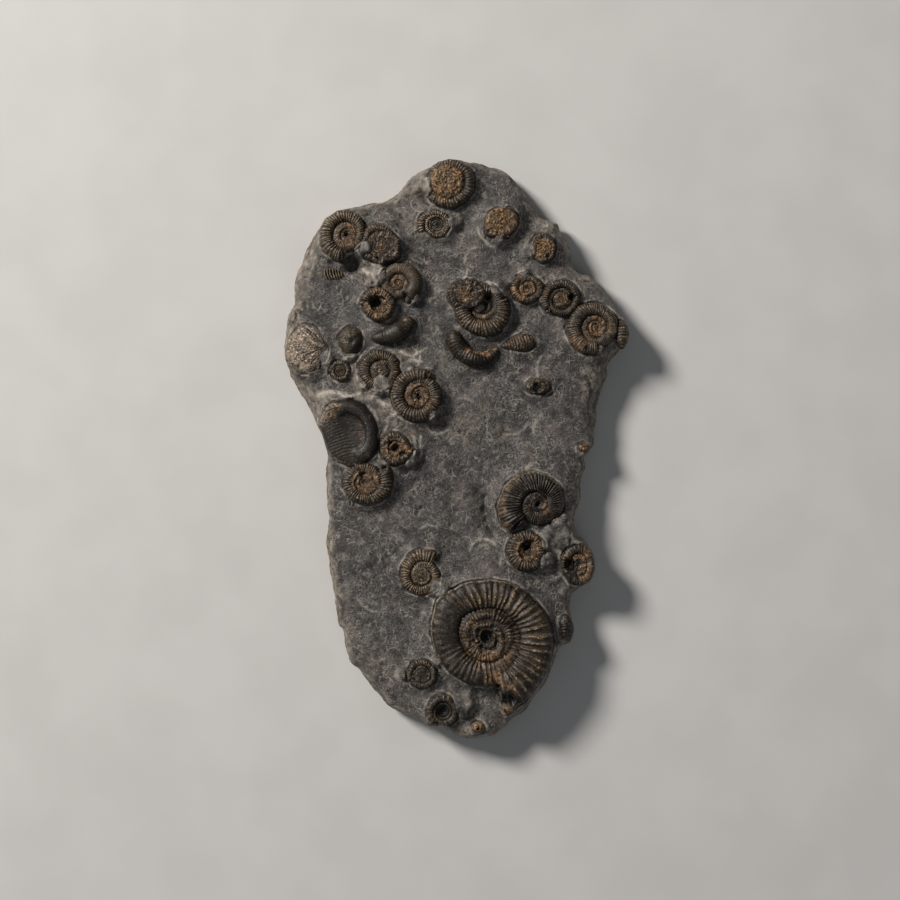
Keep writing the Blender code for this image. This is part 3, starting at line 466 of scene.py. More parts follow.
# where they are darker: mostly the shells' own dark colour, and painted shade on the lower and right sides
# of ammonite_12, ammonite_27, ammonite_28 and shell_fragment_04:
DARK_AND_SHADED = (
    (-8, -121, 18, 0.9), (-7, -105, 14, 0.9), (-2, -138, 14, 0.8), (10, -150, 9, 0.8), (2, -91, 6, 0.9),
    (10.5, -87.5, 5.5, 0.9), (20.5, -86.5, 5.5, 0.9), (31, -88.5, 5.5, 0.8), (41, -93, 5, 0.6),
    (12, -105.5, 4.5, 0.9), (20.5, -103.5, 4.5, 0.9), (30, -105, 4.5, 0.9), (38, -110, 4, 0.7),
    (19.5, -119.5, 10, 1), (5, -128, 5, 0.6), (8, -107, 5, 0.7), (6.5, 100.8, 12, 0.45), (55, 131, 10, 0.6),
    (50, 104, 8, 0.5), (-39.6, 1.6, 10, 0.35), (-66, 69, 8, 0.6), (-48, 73.5, 10, 0.9), (-37, 77, 9, 0.95),
    (-28, 99.5, 9, 0.9), (-60, 69, 8, 0.5), (-25, 106, 7, 0.6), (0, 66, 9, 0.7), (13, 58, 9, 0.8),
    (-45, -13, 9, 0.3), (79, -74, 12, 0.35), (64, 92, 12, 0.35), (-9, -169, 9, 0.5), (44, -30, 11, 0.7),
    (42, -42, 9, 0.6), (53, -30, 20, 0.6), (52, -35, 8, 0.5), (46, -108, 9, 0.4), (44, -137, 8, 0.5),
    (36, -160.5, 6, 1), (7, 176.5, 7, 0.8), (5, 184, 5, 0.7), (74, -80, 8, 1), (50, 128, 5, 0.6),
    (37.5, 141, 7, 0.9), (-5.5, -169, 8, 0.8), (-41, 98.5, 6, 0.6), (-48, 122.5, 6, 0.7), (24, 92, 7, 0.5),
    (54, -40, 12, 0.5), (50, -20, 10, 0.5), (38, -34, 8, 0.5), (69, 98, 12, 0.3), (-26.5, 108, 6, 0.6),
    (-30, 99, 7, 0.7), (46, -66, 9, 0.3), (71, -115.6, 10, 0.9), (-14, -166, 6, 0.7),
    (-22.5, -145.7, 9, 0.5))
# where the ribs are worn away:
SMOOTHED = (
    (-7, -120, 19, 1), (-6, -106, 15, 1), (-2, -135, 12, 0.6), (2, -91, 5, 0.8), (31.5, -24.5, 4.5, 0.7),
    (28.5, -32, 4.5, 0.7), (28.5, -40, 4.5, 0.7), (32, -47.5, 4, 0.6), (10.5, -87, 4.5, 0.8),
    (20.5, -86, 4.5, 0.8), (31, -88, 4.5, 0.8), (10, -149, 8, 0.5))
# where the whorls have crumbled to spokes and lumps:
CRUMBLED = ((19.5, -120.2, 14.0, 1.8), (30.0, -137.0, 9.0, 0.5), (14.0, -131.0, 9.0, 0.8))
# where the ribs are pale taupe, and the grooves between them are painted black as shade:
TANNED = (
    (8, -97.5, 6.5, 0.6), (18, -95.5, 7.5, 0.9), (28, -96.5, 7.5, 0.9), (38, -101, 8, 0.8),
    (48, -108, 10, 0.7), (55, -122, 12, 0.6), (48, -140, 12, 0.5), (38, -150, 9, 0.4), (37, -122, 8, 0.5),
    (24, -138, 9, 0.4), (-85, 148, 10, 1), (-76, 155, 8, 0.5), (-34, 52, 8, 0.3), (-30, -72, 10, 0.5),
    (14, 80, 8, 0.4))
# where each rib splits in two towards its outer end:
SPLIT = (
    (60, -108, 11, 1), (65, -120, 9, 1), (64, -132, 8, 0.8), (50, -96, 9, 0.8))
# where the ribs are thin, with wide grooves between them painted black as shade:
SHARP = (
    (60, -112, 16, 0.2), (58, -130, 16, 0.8), (44, -146, 16, 1), (33, -157, 10, 0.8), (40, -122, 10, 0.7),
    (46, -28, 14, 0.8), (40, -40, 12, 0.8))

# Hollows in the stone: x, y, radius, depth
HOLLOWS = (
    (-66, 120.5, 6.5, 4.5), (-25.2, -40.1, 1.7, 1.8), (-23.2, -37.3, 1.4, 1.8), (47.5, 148.5, 8, 1.2),
    (59, 37.5, 5, 2), (25.5, 83, 4.5, 1.5), (66, -88, 5, 2), (12, -158, 5, 1), (-79.5, 120.5, 4.5, 1.8),
    (84, 66, 6, 1.5), (-99, 49, 4, 1.5), (19, 61.5, 7, 1.8), (6.2, -31, 3, 0.8), (2.5, 143, 4, 1))
# Cracks in it: their points
CRACKS = (
    ((-93, 139), (-97, 132), (-96, 122), (-101, 112), (-104, 102), (-108, 96)),
    ((-104, 126), (-100, 118), (-101, 110)), ((-90, 132), (-93, 126), (-98, 116), (-100, 109), (-103, 104)),
    ((-104, 103), (-100, 97), (-98, 92)), ((-100, 118), (-102, 111), (-101, 106)), ((-66, 150), (-60, 147)),
    ((60, -45), (63, -52), (62, -60)), ((85, 48), (88, 40), (86, 32)), ((70, -46), (74, -52), (73, -60)),
    ((-78, -96), (-74, -104), (-76, -112)))

# Thin raised curves on the stone, as of buried shells: x, y, radius, first and last angle, height
RIDGES = (
    (17.8, -67.5, 9.5, 25, 175, 0.9), (17.8, -67.5, 5.5, 40, 160, 0.5), (-12, 20, 9, 200, 330, 0.7),
    (-33, 59, 9, 320, 70, 0.8), (47, 146, 12, 330, 60, 0.6), (29, 147, 15.5, 185, 260, 0.7),
    (-17, -60, 11, 60, 130, 0.6), (5, 26, 8, 20, 140, 0.5), (60, 12, 10, 110, 200, 0.5),
    (34, 24, 14, 250, 340, 0.5), (-88, 44, 12, 40, 130, 0.6), (-52, -92, 13, 200, 290, 0.5),
    (-24, -106, 12, 10, 90, 0.5), (44, 64, 9, 150, 230, 0.5), (64, 52, 12, 120, 220, 0.6),
    (-5, 118, 12, 280, 20, 0.6), (-22, 133, 11, 210, 300, 0.5), (15, 122, 10, 80, 190, 0.5))

# Pale broken ridges on the stone: height, half width, points
CRESTS = (
    (1.6, 1.3, ((-94.0, 34.0), (-82.4, 37.9), (-69.4, 35.3), (-59.0, 36.6), (-49.9, 31.4), (-42.0, 26.2))),
    (1.0, 0.9, ((-49.0, 60.5), (-38.0, 64.0), (-28.0, 61.0), (-20.0, 66.0))),
    (0.9, 0.8, ((-36.5, 55.0), (-31.0, 58.5), (-22.0, 58.0))),
    (1.0, 1.0, ((-47.0, 12.0), (-44.0, 20.0), (-38.0, 24.5), (-34.0, 19.0))),
    (0.9, 0.9, ((-28.0, 12.0), (-26.5, 2.0), (-28.0, -7.0))),
    (0.9, 0.8, ((-23.5, 10.0), (-22.5, 0.0), (-24.0, -6.0))),
    (1.2, 1.1, ((-62.0, 117.5), (-55.0, 113.0), (-52.0, 106.0))),
    (1.1, 1.0, ((20.0, 108.0), (24.0, 98.0), (27.0, 90.0))))


def oval_away(points, x, y, long, wide, turned, taper=0.0):
    """Distance outside an uneven oval, which is egg-shaped where it tapers."""
    along, across = local_axes(points, x, y, turned)
    bearing = bearing_from(points, x, y)
    uneven = 1 + 0.03 * np.sin(3 * bearing + x) + 0.025 * np.sin(7 * bearing + y)
    uneven += 0.015 * np.sin(12 * bearing)
    share = np.hypot(along / long, across / (wide * (1 + taper * np.clip(along / long, -1, 1)))) / uneven
    return plan_distance(points, x, y) * (1 - 1 / np.maximum(share, TINY))


def lump_away(lump, points):
    return oval_away(points, lump.x, lump.y, lump.long, lump.wide, lump.turned, lump.taper)


def swell(arch, share):
    """1 at an arch's widest place, falling to nothing at both ends."""
    return np.sin(pi * share ** (log(0.5) / log(arch.widest))) ** 0.55


def arch_line(arch, count):
    """Middle line of an arch with its angle and half width, thinning to both ends."""
    share = np.linspace(0, 1, count)
    angle = np.radians(mix(arch.first, arch.last, share))
    half = arch.width / 2 * (0.2 + 0.8 * swell(arch, share))
    return arch.x + arch.radius * np.cos(angle), arch.y + arch.radius * np.sin(angle), angle, half


def arch_away(arch, points):
    px, py, _, half = arch_line(arch, ARCH_CHECKED)
    return (np.hypot(points[:, :1] - px, points[:, 1:2] - py) - half).min(axis=1)


def bar_away(points, x, y, length, width):
    """Distance outside a rectangle."""
    return np.maximum(np.abs(points[:, 0] - x) - length / 2, np.abs(points[:, 1] - y) - width / 2)


def worn_away(points):
    return oval_away(points, *WORN[1:6])


def imprint_away(points):
    """Distance outside the imprint: an oval, cut off along the slab's side."""
    _, x, y, long, narrow, turned, _ = IMPRINT
    away = oval_away(points, x, y, long, long * narrow, turned)
    near = away < IMPRINT_CHECKED
    close = points[near]
    inside = loop_distance(close, OUTLINE) * np.where(within(close, OUTLINE), 1, -1)
    away[near] = np.maximum(away[near], IMPRINT_MARGIN - inside)
    return away


def all_distances(points):
    """Distance outside each fossil's outline at each point, by node."""
    found = {coil.node: coil_away(coil, points) for coil in COILS}
    found.update((lump.node, lump_away(lump, points)) for lump in LUMPS)
    found.update((arch.node, arch_away(arch, points)) for arch in ARCHES)
    found[COMB[0]] = bar_away(points, *COMB[1:5])
    found[WORN[0]] = worn_away(points)
    found[IMPRINT[0]] = imprint_away(points)
    return found


def nearest_fossil(points):
    return np.min(list(all_distances(points).values()), axis=0)


def fossil_plans():
    """Middle, rough reach and distance function of each fossil that has its middle inside it."""
    plans = [(coil.x, coil.y, coil.full, partial(coil_away, coil)) for coil in COILS]
    plans += [(lump.x, lump.y, lump.long, partial(lump_away, lump)) for lump in LUMPS]
    return plans + [(*WORN[1:4], worn_away), (*IMPRINT[1:4], imprint_away)]


def outline_of(away, x, y, reach, step):
    """Angles and radii of the points round a fossil where its distance function is nought."""
    angle = np.linspace(0, 2 * pi, int(2 * pi * reach / step), endpoint=False)
    low, high = np.zeros(len(angle)), np.full(len(angle), reach * RAY_LENGTH)
    for _ in range(RAY_HALVINGS):
        middle = (low + high) / 2
        outside = away(listed(x + middle * np.cos(angle), y + middle * np.sin(angle))) > 0
        high = np.where(outside, middle, high)
        low = np.where(outside, low, middle)
    return angle, low


def seat_level(node):
    """Height of the flat place under a fossil."""
    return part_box(node)[0].z / MM - GAP


# The ground

def open_ground(points):
    """Height of the stone's top where no fossil is near."""
    height = THICKNESS - TRENCH_DEPTH * np.exp(-(line_distance(points, TRENCH) / TRENCH_WIDTH) ** 2)
    for x, y, reach, rise in SWELLS:
        height += rise * np.exp(-((points[:, 0] - x) ** 2 + (points[:, 1] - y) ** 2) / reach ** 2)
    height -= EDGE_DROP * (1 - smoothstep(loop_distance(points, OUTLINE) / EDGE_REACH)) ** 2
    sway = [noise.noise(Vector((x, y, SWAY_SLICE)) / SWAY_SIZE) for x, y in points]
    return height + SWAY * np.array(sway)


def cover_heights(points):
    """How far stone buries the fossils, 0 to 1, and how much it rises there."""
    wobble = 1 + 0.3 * grain(points, 6.0, 3) + 0.12 * grain(points, 2.2, 10)
    rises = [(x, y, reach, rise - EMBED) for x, y, reach, rise in COVERS]
    return ragged_spots(points, rises, wobble, 1.15, 0.75)


def wander_of(points):
    """A small push in plan that makes a straight line on the stone uneven."""
    return np.column_stack((grain(points, 6.0, 8), grain(points, 6.0, 9)))


def cracks_at(points):
    """1 in the middle of a crack, falling to nothing at its sides."""
    crack = np.zeros(len(points))
    wandered = points + wander_of(points)
    for line in CRACKS:
        crack = np.maximum(crack, np.exp(-(line_distance(wandered, line) / CRACK_WIDTH) ** 2))
    return crack


def hollows_at(points, uneven):
    """How deep the hollows in the stone are at each point."""
    hollow = np.zeros(len(points))
    for x, y, reach, depth in HOLLOWS:
        sunk = smoothstep(1.5 - 1.3 * plan_distance(points, x, y) / reach + 0.5 * uneven)
        hollow = np.maximum(hollow, depth * sunk)
    return hollow


def ridges_at(points, uneven, wander):
    """How high the thin curves and the broken ridges stand at each point."""
    ridge = np.zeros(len(points))
    for x, y, radius, first, last, rise in RIDGES:
        ends = arc_share(np.degrees(bearing_from(points, x, y)), first, last, 0.5)
        off = (plan_distance(points, x, y) - radius * (1 + 0.05 * uneven)) / RIDGE_WIDTH
        ridge = np.maximum(ridge, rise * ends * np.exp(-off ** 2))
    for rise, half_width, line in CRESTS:
        off = line_distance(points + 1.5 * wander, line) / half_width
        ridge = np.maximum(ridge, rise * np.exp(-off ** 2) * smoothstep(0.75 + 1.2 * uneven))
    return ridge


def seat_pull(distances):
    """Height that the fossils' seats draw the stone to at each point, and how strongly."""
    pull = total = strongest = np.zeros(1)
    for node, distance in distances.items():
        weight = smoothstep(1 - np.maximum(distance, 0) / SKIRT)
        pull = pull + weight * seat_level(node)
        total = total + weight
        strongest = np.maximum(strongest, weight)
    return pull / np.maximum(total, TINY), strongest


def stone_surface(points):
    """Height of the stone's top at each point, how pale it is there, and how dark: painted shade in the gaps
    round the fossils and in deep hollows, and dark cracks.
    """
    distances = all_distances(points)
    nearest = np.min([away for node, away in distances.items() if node != COMB[0]], axis=0)
    height = mix(open_ground(points), *seat_pull(distances))
    uneven, wander = grain(points, 5.0, 1), wander_of(points)
    lip = np.exp(-((nearest - LIP_AT) / LIP_WIDTH) ** 2) * smoothstep(0.45 + 1.9 * uneven)
    groove = np.exp(-((nearest - GROOVE_AT) / GROOVE_WIDTH) ** 2)
    groove *= smoothstep(0.45 - 1.9 * grain(points, 7.0, 2))
    height += LIP_HEIGHT * lip - GROOVE_DEPTH * groove
    height += EMBED * np.exp(-np.maximum(nearest, 0) / EMBED_REACH) * (0.75 + 0.9 * grain(points, 11.0, 7))
    burying, covered = cover_heights(points)
    height -= (EMBED + UNDER) * smoothstep((-0.5 - nearest) / 1.5) * (1 - burying)
    hollow, crack = hollows_at(points, uneven), cracks_at(points)
    ridge = ridges_at(points, uneven, wander)
    height += covered + ridge - hollow - CRACK_DEPTH * crack
    trench = np.exp(-(line_distance(points + wander, TRENCH_NEAR) / TRENCH_NEAR_WIDTH) ** 2)
    height -= TRENCH_NEAR_DEPTH * trench
    open_share = smoothstep(nearest / 3)
    height += 0.28 * grain(points, 3.6, 4) + (0.2 + 0.35 * open_share) * grain(points, 9.0, 5)
    height += 0.16 * grain(points, 1.5, 6)
    pale = np.clip(lip * 0.8 + ridge * 1.3 + 0.5 * (covered > 0.5) * smoothstep(uneven + 0.3), 0, 1)
    # The last value is painted shade in the gaps round the fossils and in deep hollows, and the dark of the
    # cracks
    return height, pale, np.clip(groove + crack + 0.35 * smoothstep(hollow - 1.2), 0, 1)


# The stone's mesh

def evened(line, step):
    """The outline as points at about even steps, on a smooth curve through its corners."""
    corners = np.array(line, float)
    smooth = []
    count = len(corners)
    for k in range(count):
        before, here, after, beyond = (corners[(k + j) % count] for j in (-1, 0, 1, 2))
        pieces = max(1, int(np.linalg.norm(after - here) / step + 0.5))
        for t in np.arange(pieces) / pieces:
            curve = 2 * here + (after - before) * t + (2 * before - 5 * here + 4 * after - beyond) * t ** 2
            smooth.append((curve + (3 * here - before - 3 * after + beyond) * t ** 3) / 2)
    return np.array(smooth)


def outward(line, reach=3):
    """Unit directions out of a closed clockwise line."""
    way = np.roll(line, -reach, axis=0) - np.roll(line, reach, axis=0)
    way /= np.linalg.norm(way, axis=1)[:, None]
    return np.column_stack((-way[:, 1], way[:, 0]))


def averaged(values, reach):
    """Each value of a closed row averaged with its neighbours."""
    kernel = np.ones(2 * reach + 1) / (2 * reach + 1)
    closed = np.concatenate((values[-reach:], values, values[:reach]))
    return np.convolve(closed, kernel, mode="valid")


def rim_inset(line):
    """How far the top's rim lies inside the widest line: more on two stretches, less beside a fossil."""
    x, y = line[:, 0], line[:, 1]
    left = smoothstep((-x - 78) / 14) * smoothstep((y + 5) / 30) * smoothstep((152 - y) / 24)
    right = smoothstep((x - 76) / 12) * smoothstep((66 - y) / 12) * smoothstep((y + 6) / 30)
    inset = BEVEL + (LEFT_BEVEL - BEVEL) * left + (RIGHT_BEVEL - BEVEL) * right
    inset *= 1 + 0.35 * grain(line, 14.0, 11) + 0.2 * grain(line, 4.0, 12)
    clear = nearest_fossil(line)
    inset = np.minimum(inset, np.maximum(clear - 0.4, 0.3))
    return np.minimum(averaged(inset, 3), np.maximum(clear - 0.2, 0.35))


def coarse_loop(line):
    """Every few points of a closed line, as pairs."""
    return [tuple(place) for place in line[::COARSE]]


def even_grid(half_width, step):
    """Points of a square grid over the slab."""
    across = np.arange(-half_width, half_width + 1, step)
    return listed(*np.meshgrid(across, np.arange(-HALF_LENGTH, HALF_LENGTH, step)))


def top_points(rim):
    """Plan points of the top: along the fossils' outlines, and a shaken grid between them."""
    random = np.random.default_rng(SEED)
    collars = []
    for x, y, reach, away in fossil_plans():
        angle, radius = outline_of(away, x, y, reach, COLLAR_STEP)
        for distance in COLLAR:
            out = radius + distance + random.uniform(-COLLAR_SHAKE, COLLAR_SHAKE, len(angle))
            collars.append(listed(x + out * np.cos(angle), y + out * np.sin(angle)))
    collar = np.concatenate(collars)
    collar = collar[nearest_fossil(collar) > COLLAR_DEEPEST]
    square = even_grid(HALF_WIDTH, FINE)
    grid = square + random.uniform(-GRID_SHAKE, GRID_SHAKE, square.shape) * FINE
    nearest = nearest_fossil(grid)
    covered = np.zeros(len(grid), bool)
    for x, y, reach, _ in COVERS:
        covered |= plan_distance(grid, x, y) < reach * COVER_SPREAD
    # Fine points on open ground and on covered fossils, few where a fossil hides the stone
    keep = (nearest > COLLAR[-1] + 0.2) | (covered & (nearest < -0.8))
    keep |= (nearest < -2) & (np.abs(square % HIDDEN_STEP) < FINE).all(axis=1)
    plan = np.concatenate((collar, grid[keep]))
    border = coarse_loop(rim)
    return plan[within(plan, border) & (loop_distance(plan, border) > RIM_CLEAR)]


def back_points(back):
    """Plan points of the back, inside its outline."""
    grid = even_grid(BACK_HALF_WIDTH, BACK_STEP)
    grid = grid + grain(grid, 3.1, 31)[:, None]
    border = coarse_loop(back)
    return grid[within(grid, border) & (loop_distance(grid, border) > BACK_CLEAR)]


def triangulated(border, inner):
    """Points and triangles of a flat mesh within a closed line, with more points inside it."""
    count = len(border)
    edges = [(k, (k + 1) % count) for k in range(count)]
    places = [Vector(place) for place in (*border, *inner)]
    flat, _, triangles, *_ = delaunay_2d_cdt(places, edges, [], 1, 1e-5)
    return np.array([tuple(place) for place in flat]), [tuple(triangle) for triangle in triangles]


def band(above, below):
    """Faces between two closed rows with the same number of points."""
    count = len(above)
    return [(above[k], above[k + 1 - count], below[k + 1 - count], below[k]) for k in range(count)]


def new_piece(node, points, faces, values, material):
    """One mesh object in place of a solid, with a number at each point for each named value."""
    mesh = bpy.data.meshes.new(node)
    mesh.from_pydata((np.asarray(points) * MM).tolist(), [], faces)
    for name, numbers in values.items():
        at_points = np.zeros(len(points), np.float32) + np.asarray(numbers, np.float32)
        mesh.attributes.new(name, "FLOAT", "POINT").data.foreach_set("value", at_points)
    work = bmesh.new()
    work.from_mesh(mesh)
    bmesh.ops.recalc_face_normals(work, faces=work.faces[:])
    work.to_mesh(mesh)
    work.free()
    mesh.materials.append(material)
    mesh.shade_smooth()
    piece = bpy.data.objects.new(node + "_look", mesh)
    bpy.context.collection.objects.link(piece)
    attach(piece, "root")
    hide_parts(node)
    return piece


def side_rings(rim, rim_height, line, outer):
    """Rings of points down the broken side, from the rim to the widest line and in under it to the back."""
    uneven = grain(line, 19.0, 0)
    widest = WIDEST_AT * (1 + 0.35 * uneven)
    back = line - outer * (BACK_INSET * (1 + 0.4 * uneven))[:, None]
    upper = int(SIDE_RINGS * UPPER_SHARE)
    rings = []
    for k in range(1, SIDE_RINGS + 1):
        if k <= upper:
            share = k / upper
            plan = mix(rim, line, share ** 0.75)
            height = mix(rim_height, widest, share)
        else:
            share = (k - upper) / (SIDE_RINGS - upper)
            plan = mix(line, back, share)
            height = mix(widest, 0.0, share)
        solid = np.column_stack((plan, height))
        layers = grain(solid * (0.12, 0.12, 1.0), 2.0, 21)
        bulge = 0.8 * grain(solid, 7.0, 22) + 0.45 * grain(solid, 2.4, 23) + 0.7 * layers
        fade = np.sin(pi * k / (SIDE_RINGS + 0.5)) ** 0.5
        plan = plan + outer * (np.minimum(bulge, 0.9) * fade)[:, None]
        rings.append(np.column_stack((plan, height)))
    return rings


def padded(values, count):
    """The values with noughts after them, as many as that altogether."""
    return np.concatenate((values, np.zeros(count - len(values))))


def make_stone(material):
    """One closed mesh: the top, rings of points down the side, and the back."""
    line = evened(OUTLINE, RIM_STEP)
    outer = outward(line)
    rim = line - outer * rim_inset(line)[:, None]
    count = len(rim)
    flat, faces = triangulated(rim, top_points(rim))
    height, pale, dark = stone_surface(flat)
    height[:count] -= RIM_SAG
    rings = side_rings(rim, height[:count], line, outer)
    side_cracks = [SIDE_CRACK * cracks_at(ring[:, :2]) * (ring[:, 2] > WIDEST_AT) for ring in rings]
    for ring, crack in zip(rings, side_cracks):
        ring[:, 2] -= crack
    rows = [list(range(count))]
    for ring in range(SIDE_RINGS):
        start = len(flat) + ring * count
        rows.append(list(range(start, start + count)))
        faces += band(*rows[-2:])
    back = rings[-1][:, :2]
    flat_back, triangles = triangulated(back, back_points(back))
    inner = flat_back[count:]
    pits = 0.9 * np.maximum(0, grain(inner, 9.0, 32)) + 0.5 * np.maximum(0, grain(inner, 4.5, 33))
    sides = len(flat) + SIDE_RINGS * count
    index = rows[-1] + list(range(sides, sides + len(inner)))
    faces += [tuple(index[k] for k in triangle) for triangle in triangles]
    points = np.concatenate((np.column_stack((flat, height)), *rings, np.column_stack((inner, pits))))
    side = np.ones(len(points))
    side[:len(flat)] = smoothstep(1 - loop_distance(flat, coarse_loop(rim)) / 2.5)
    near_rim = smoothstep(1 - loop_distance(points[:, :2], OUTLINE) / RIM_PALE)
    stained = 0.9 * near_rim * smoothstep(0.7 + grain(points, 12.0, 34))
    dark = np.concatenate((dark, *side_cracks))
    values = {"lip": padded(pale, len(points)), "groove": padded(dark, len(points)), "side": side,
              "beige": np.maximum(strongest_at(points, BEIGE), stained)}
    return new_piece("matrix_slab", points, faces, values, material)


# The fossils

OVERLAP = 1.12          # an earlier turn reaches this far under the next, as a share of its seam's radius
SMALLEST = 0.08         # a coil stops at this share of its radius
MOST_TURNS = 5
LEAST_STATIONS = 170    # in the last turn
CLOSING_TURN = 330      # over its last degrees the whorl closes the middle
CLOSED_SEAM = 0.03      # its inner radius there, as a share of what it would be
WHORL_THICK = 0.72      # a whorl's half thickness, as a share of the coil's height
MOUTH_BREAK = 5.0       # a last whorl crumbles away over this far at its mouth
CHIP_DEPTH = 0.45       # of the flat chips broken out of a whorl
BIG_COIL = 30.0         # coils of a larger radius than this have a finer mesh
ARCH_STATIONS = 150     # along a coil that stands on edge
FOOT_DEPTH = 1.6        # a lump goes on down this far under its seat
LOWEST_DEPTH = 2.2      # and its underside lies this far down

# Voids broken into the coils, sunk and painted black as shade: x, y, radius, depth
DENTS = (
    (33, -162, 5, 4.5), (26, -153.5, 3.2, 3.5), (41, -161, 2.5, 2), (45.5, -61.3, 4.2, 4),
    (73.5, -74.5, 4.6, 3.5), (74.6, 99.4, 2.6, 3.5), (-53, 96.6, 4.3, 4.5), (21, 99.5, 2.6, 3),
    (13.5, -116.5, 2.2, 1.6), (23.5, -113.5, 2, 1.4), (25.5, -124.5, 2.2, 1.4), (16, -127, 1.8, 1.2),
    (20.5, -131.5, 1.6, 1), (11, -122.5, 1.5, 1), (-35, -2.5, 2.2, 1.5), (-43.5, 5, 1.8, 1.2),
    (-24, 33.5, 1.6, 2), (10, 103, 1.8, 1.2), (59.5, 126, 2, 1.5), (-61, -15.5, 2.4, 1.8),
    (-33, 101, 2, 1.5), (84, 66.5, 2, 1.5))

# A pale rim outside a coil: first and last angle, strength
RIMS = {
    "large_ammonite": (55, 208, 0.9), "ammonite_17": (75, 235, 0.8), "ammonite_21": (20, 225, 1.1),
    "ammonite_20": (225, 300, 0.6), "ammonite_10": (95, 175, 0.5), "ammonite_01": (-50, 40, 0.5),
    "ammonite_26": (-20, 110, 0.5), "ammonite_12": (0, 80, 0.5), "ammonite_11": (95, 205, 0.9)}

# Pale crests of its ribs, as a painted highlight on ammonite_21's inner rib ends: first and last angle,
# place across the whorl (-1 inside, 1 outside), strength
PALE_RIBS = {
    "ammonite_21": (85, 190, -0.6, 1.2), "ammonite_02": (0, 359, 0.1, 1.3),
    "ammonite_10": (80, 200, 0.3, 0.4), "ammonite_24": (60, 200, 0.2, 0.5)}


@dataclass
class Whorls:
    """A coil's whorl as sections at stations from its mouth inward.

    Arrays have a row for each station and a column for each place round the section."""
    behind: np.ndarray      # degrees back from the mouth
    angle: np.ndarray       # the station's direction in plan, in radians
    section: np.ndarray     # angle round the section, 0 at the outer side and pi / 2 on the crest
    across: np.ndarray      # -1 at the inner side to 1 at the outer side
    up: np.ndarray          # -1 below to 1 on the crest
    outer: np.ndarray       # outer and inner radius of the whorl
    inner: np.ndarray
    share: np.ndarray       # outer radius over that at the mouth
    bend: np.ndarray        # how the coil's outline changes the radius
    plan: np.ndarray        # rough place of every point, for noise and patches

    @property
    def shape(self):
        return len(self.behind), self.section.size

    def every(self, values):
        """A number for each point, from one for each station or each place round the section."""
        return np.broadcast_to(values, self.shape).ravel()

    def grain(self, size, seed):
        return grain(self.plan, size, seed).reshape(self.shape)

    def patches(self, patches):
        return strongest_at(self.plan, patches).reshape(self.shape)


def signed_power(value, power):
    return np.sign(value) * np.abs(value) ** power


def turn_radius(coil, behind):
    """Outer radius of the whorl, from the mouth back through all its turns."""
    shrink = coil.seam * OVERLAP
    turns = np.floor(behind / 360)
    rest = behind - turns * 360
    inner = edge_radius(coil, rest) * shrink ** turns
    joined = coil.edge[-1][1] * shrink ** (turns - 1)
    return np.where(turns > 0, mix(joined, inner, smoothstep(rest / 90)), inner)


def coil_stations(coil):
    """Degrees back from the mouth at each station, closer together on the last turn."""
    per_turn = coil.ribs * 6 if coil.full > BIG_COIL else max(coil.ribs * 5, LEAST_STATIONS)
    shrink = coil.seam * OVERLAP
    stations = [np.linspace(0, 360, per_turn, endpoint=False)]
    radius = shrink
    turn = 1
    while radius > SMALLEST and turn < MOST_TURNS:
        count = max(40, int(per_turn * mix(radius, 1, 0.15)))
        stations.append(360 * turn + np.linspace(0, 360, count, endpoint=False))
        radius *= shrink
        turn += 1
    return np.concatenate(stations)


def whorl_section(coil):
    """Angles round a whorl's section, with few points below, where the stone hides them."""
    seen, hidden = (26, 5) if coil.full > BIG_COIL else (14, 4)
    below = np.linspace(215, 325, hidden)[1:-1]
    return np.radians(np.concatenate((np.linspace(-35, 215, seen), below)))


def lay_whorls(coil):
    """The stations and sections of a coil's whorl, from its mouth inward."""
    behind = coil_stations(coil)[:, None]
    section = whorl_section(coil)[None, :]
    across, up = signed_power(np.cos(section), 0.85), signed_power(np.sin(section), 0.8)
    angle = np.radians(coil.mouth - coil.hand * behind)
    outer = turn_radius(coil, behind)
    inner = outer * coil.seam
    inner = np.where(behind > behind.max() - CLOSING_TURN, inner * CLOSED_SEAM, inner)
    bend = squash(coil, np.degrees(angle))
    radius = ((outer + inner) / 2 + (outer - inner) / 2 * across) * bend
    plan = listed(coil.x + radius * np.cos(angle), coil.y + radius * np.sin(angle))
    return Whorls(behind, angle, section, across, up, outer, inner, outer / coil.full, bend, plan)


def rib_relief(coil, whorls):
    """How much of a rib's crest each point is, 0 to 1, and the depth of the groove there."""
    along, across, section = np.radians(whorls.behind), whorls.across, whorls.section
    shaken = 0.9 * np.sin(along * 6.7 + coil.x) + 0.7 * np.sin(along * 15.3)
    shaken = shaken + 1.5 * whorls.grain(6.0, 47)
    wave = along * coil.ribs + 1.2 * across * coil.hand + shaken
    split = smoothstep((across - 0.25) / 0.3) * whorls.patches(SPLIT)
    crest = mix(0.5 + 0.5 * np.cos(wave), 0.5 + 0.5 * np.cos(2 * wave), split)
    crest = crest ** (1.2 + 1.6 * whorls.patches(SHARP))
    reach = smoothstep((np.sin(section) + 0.25) / 0.6) * smoothstep((np.cos(section) + 1.12) / 0.5)
    worn = whorls.patches(SMOOTHED)
    groove = (1 - crest) * reach * coil.depth * (0.5 + 0.5 * whorls.share) * (coil.ribs > 0)
    groove = groove * (1 - worn) * (0.8 + 0.8 * whorls.grain(5.0, 45))
    return mix(crest, 0.3, worn) * reach, groove


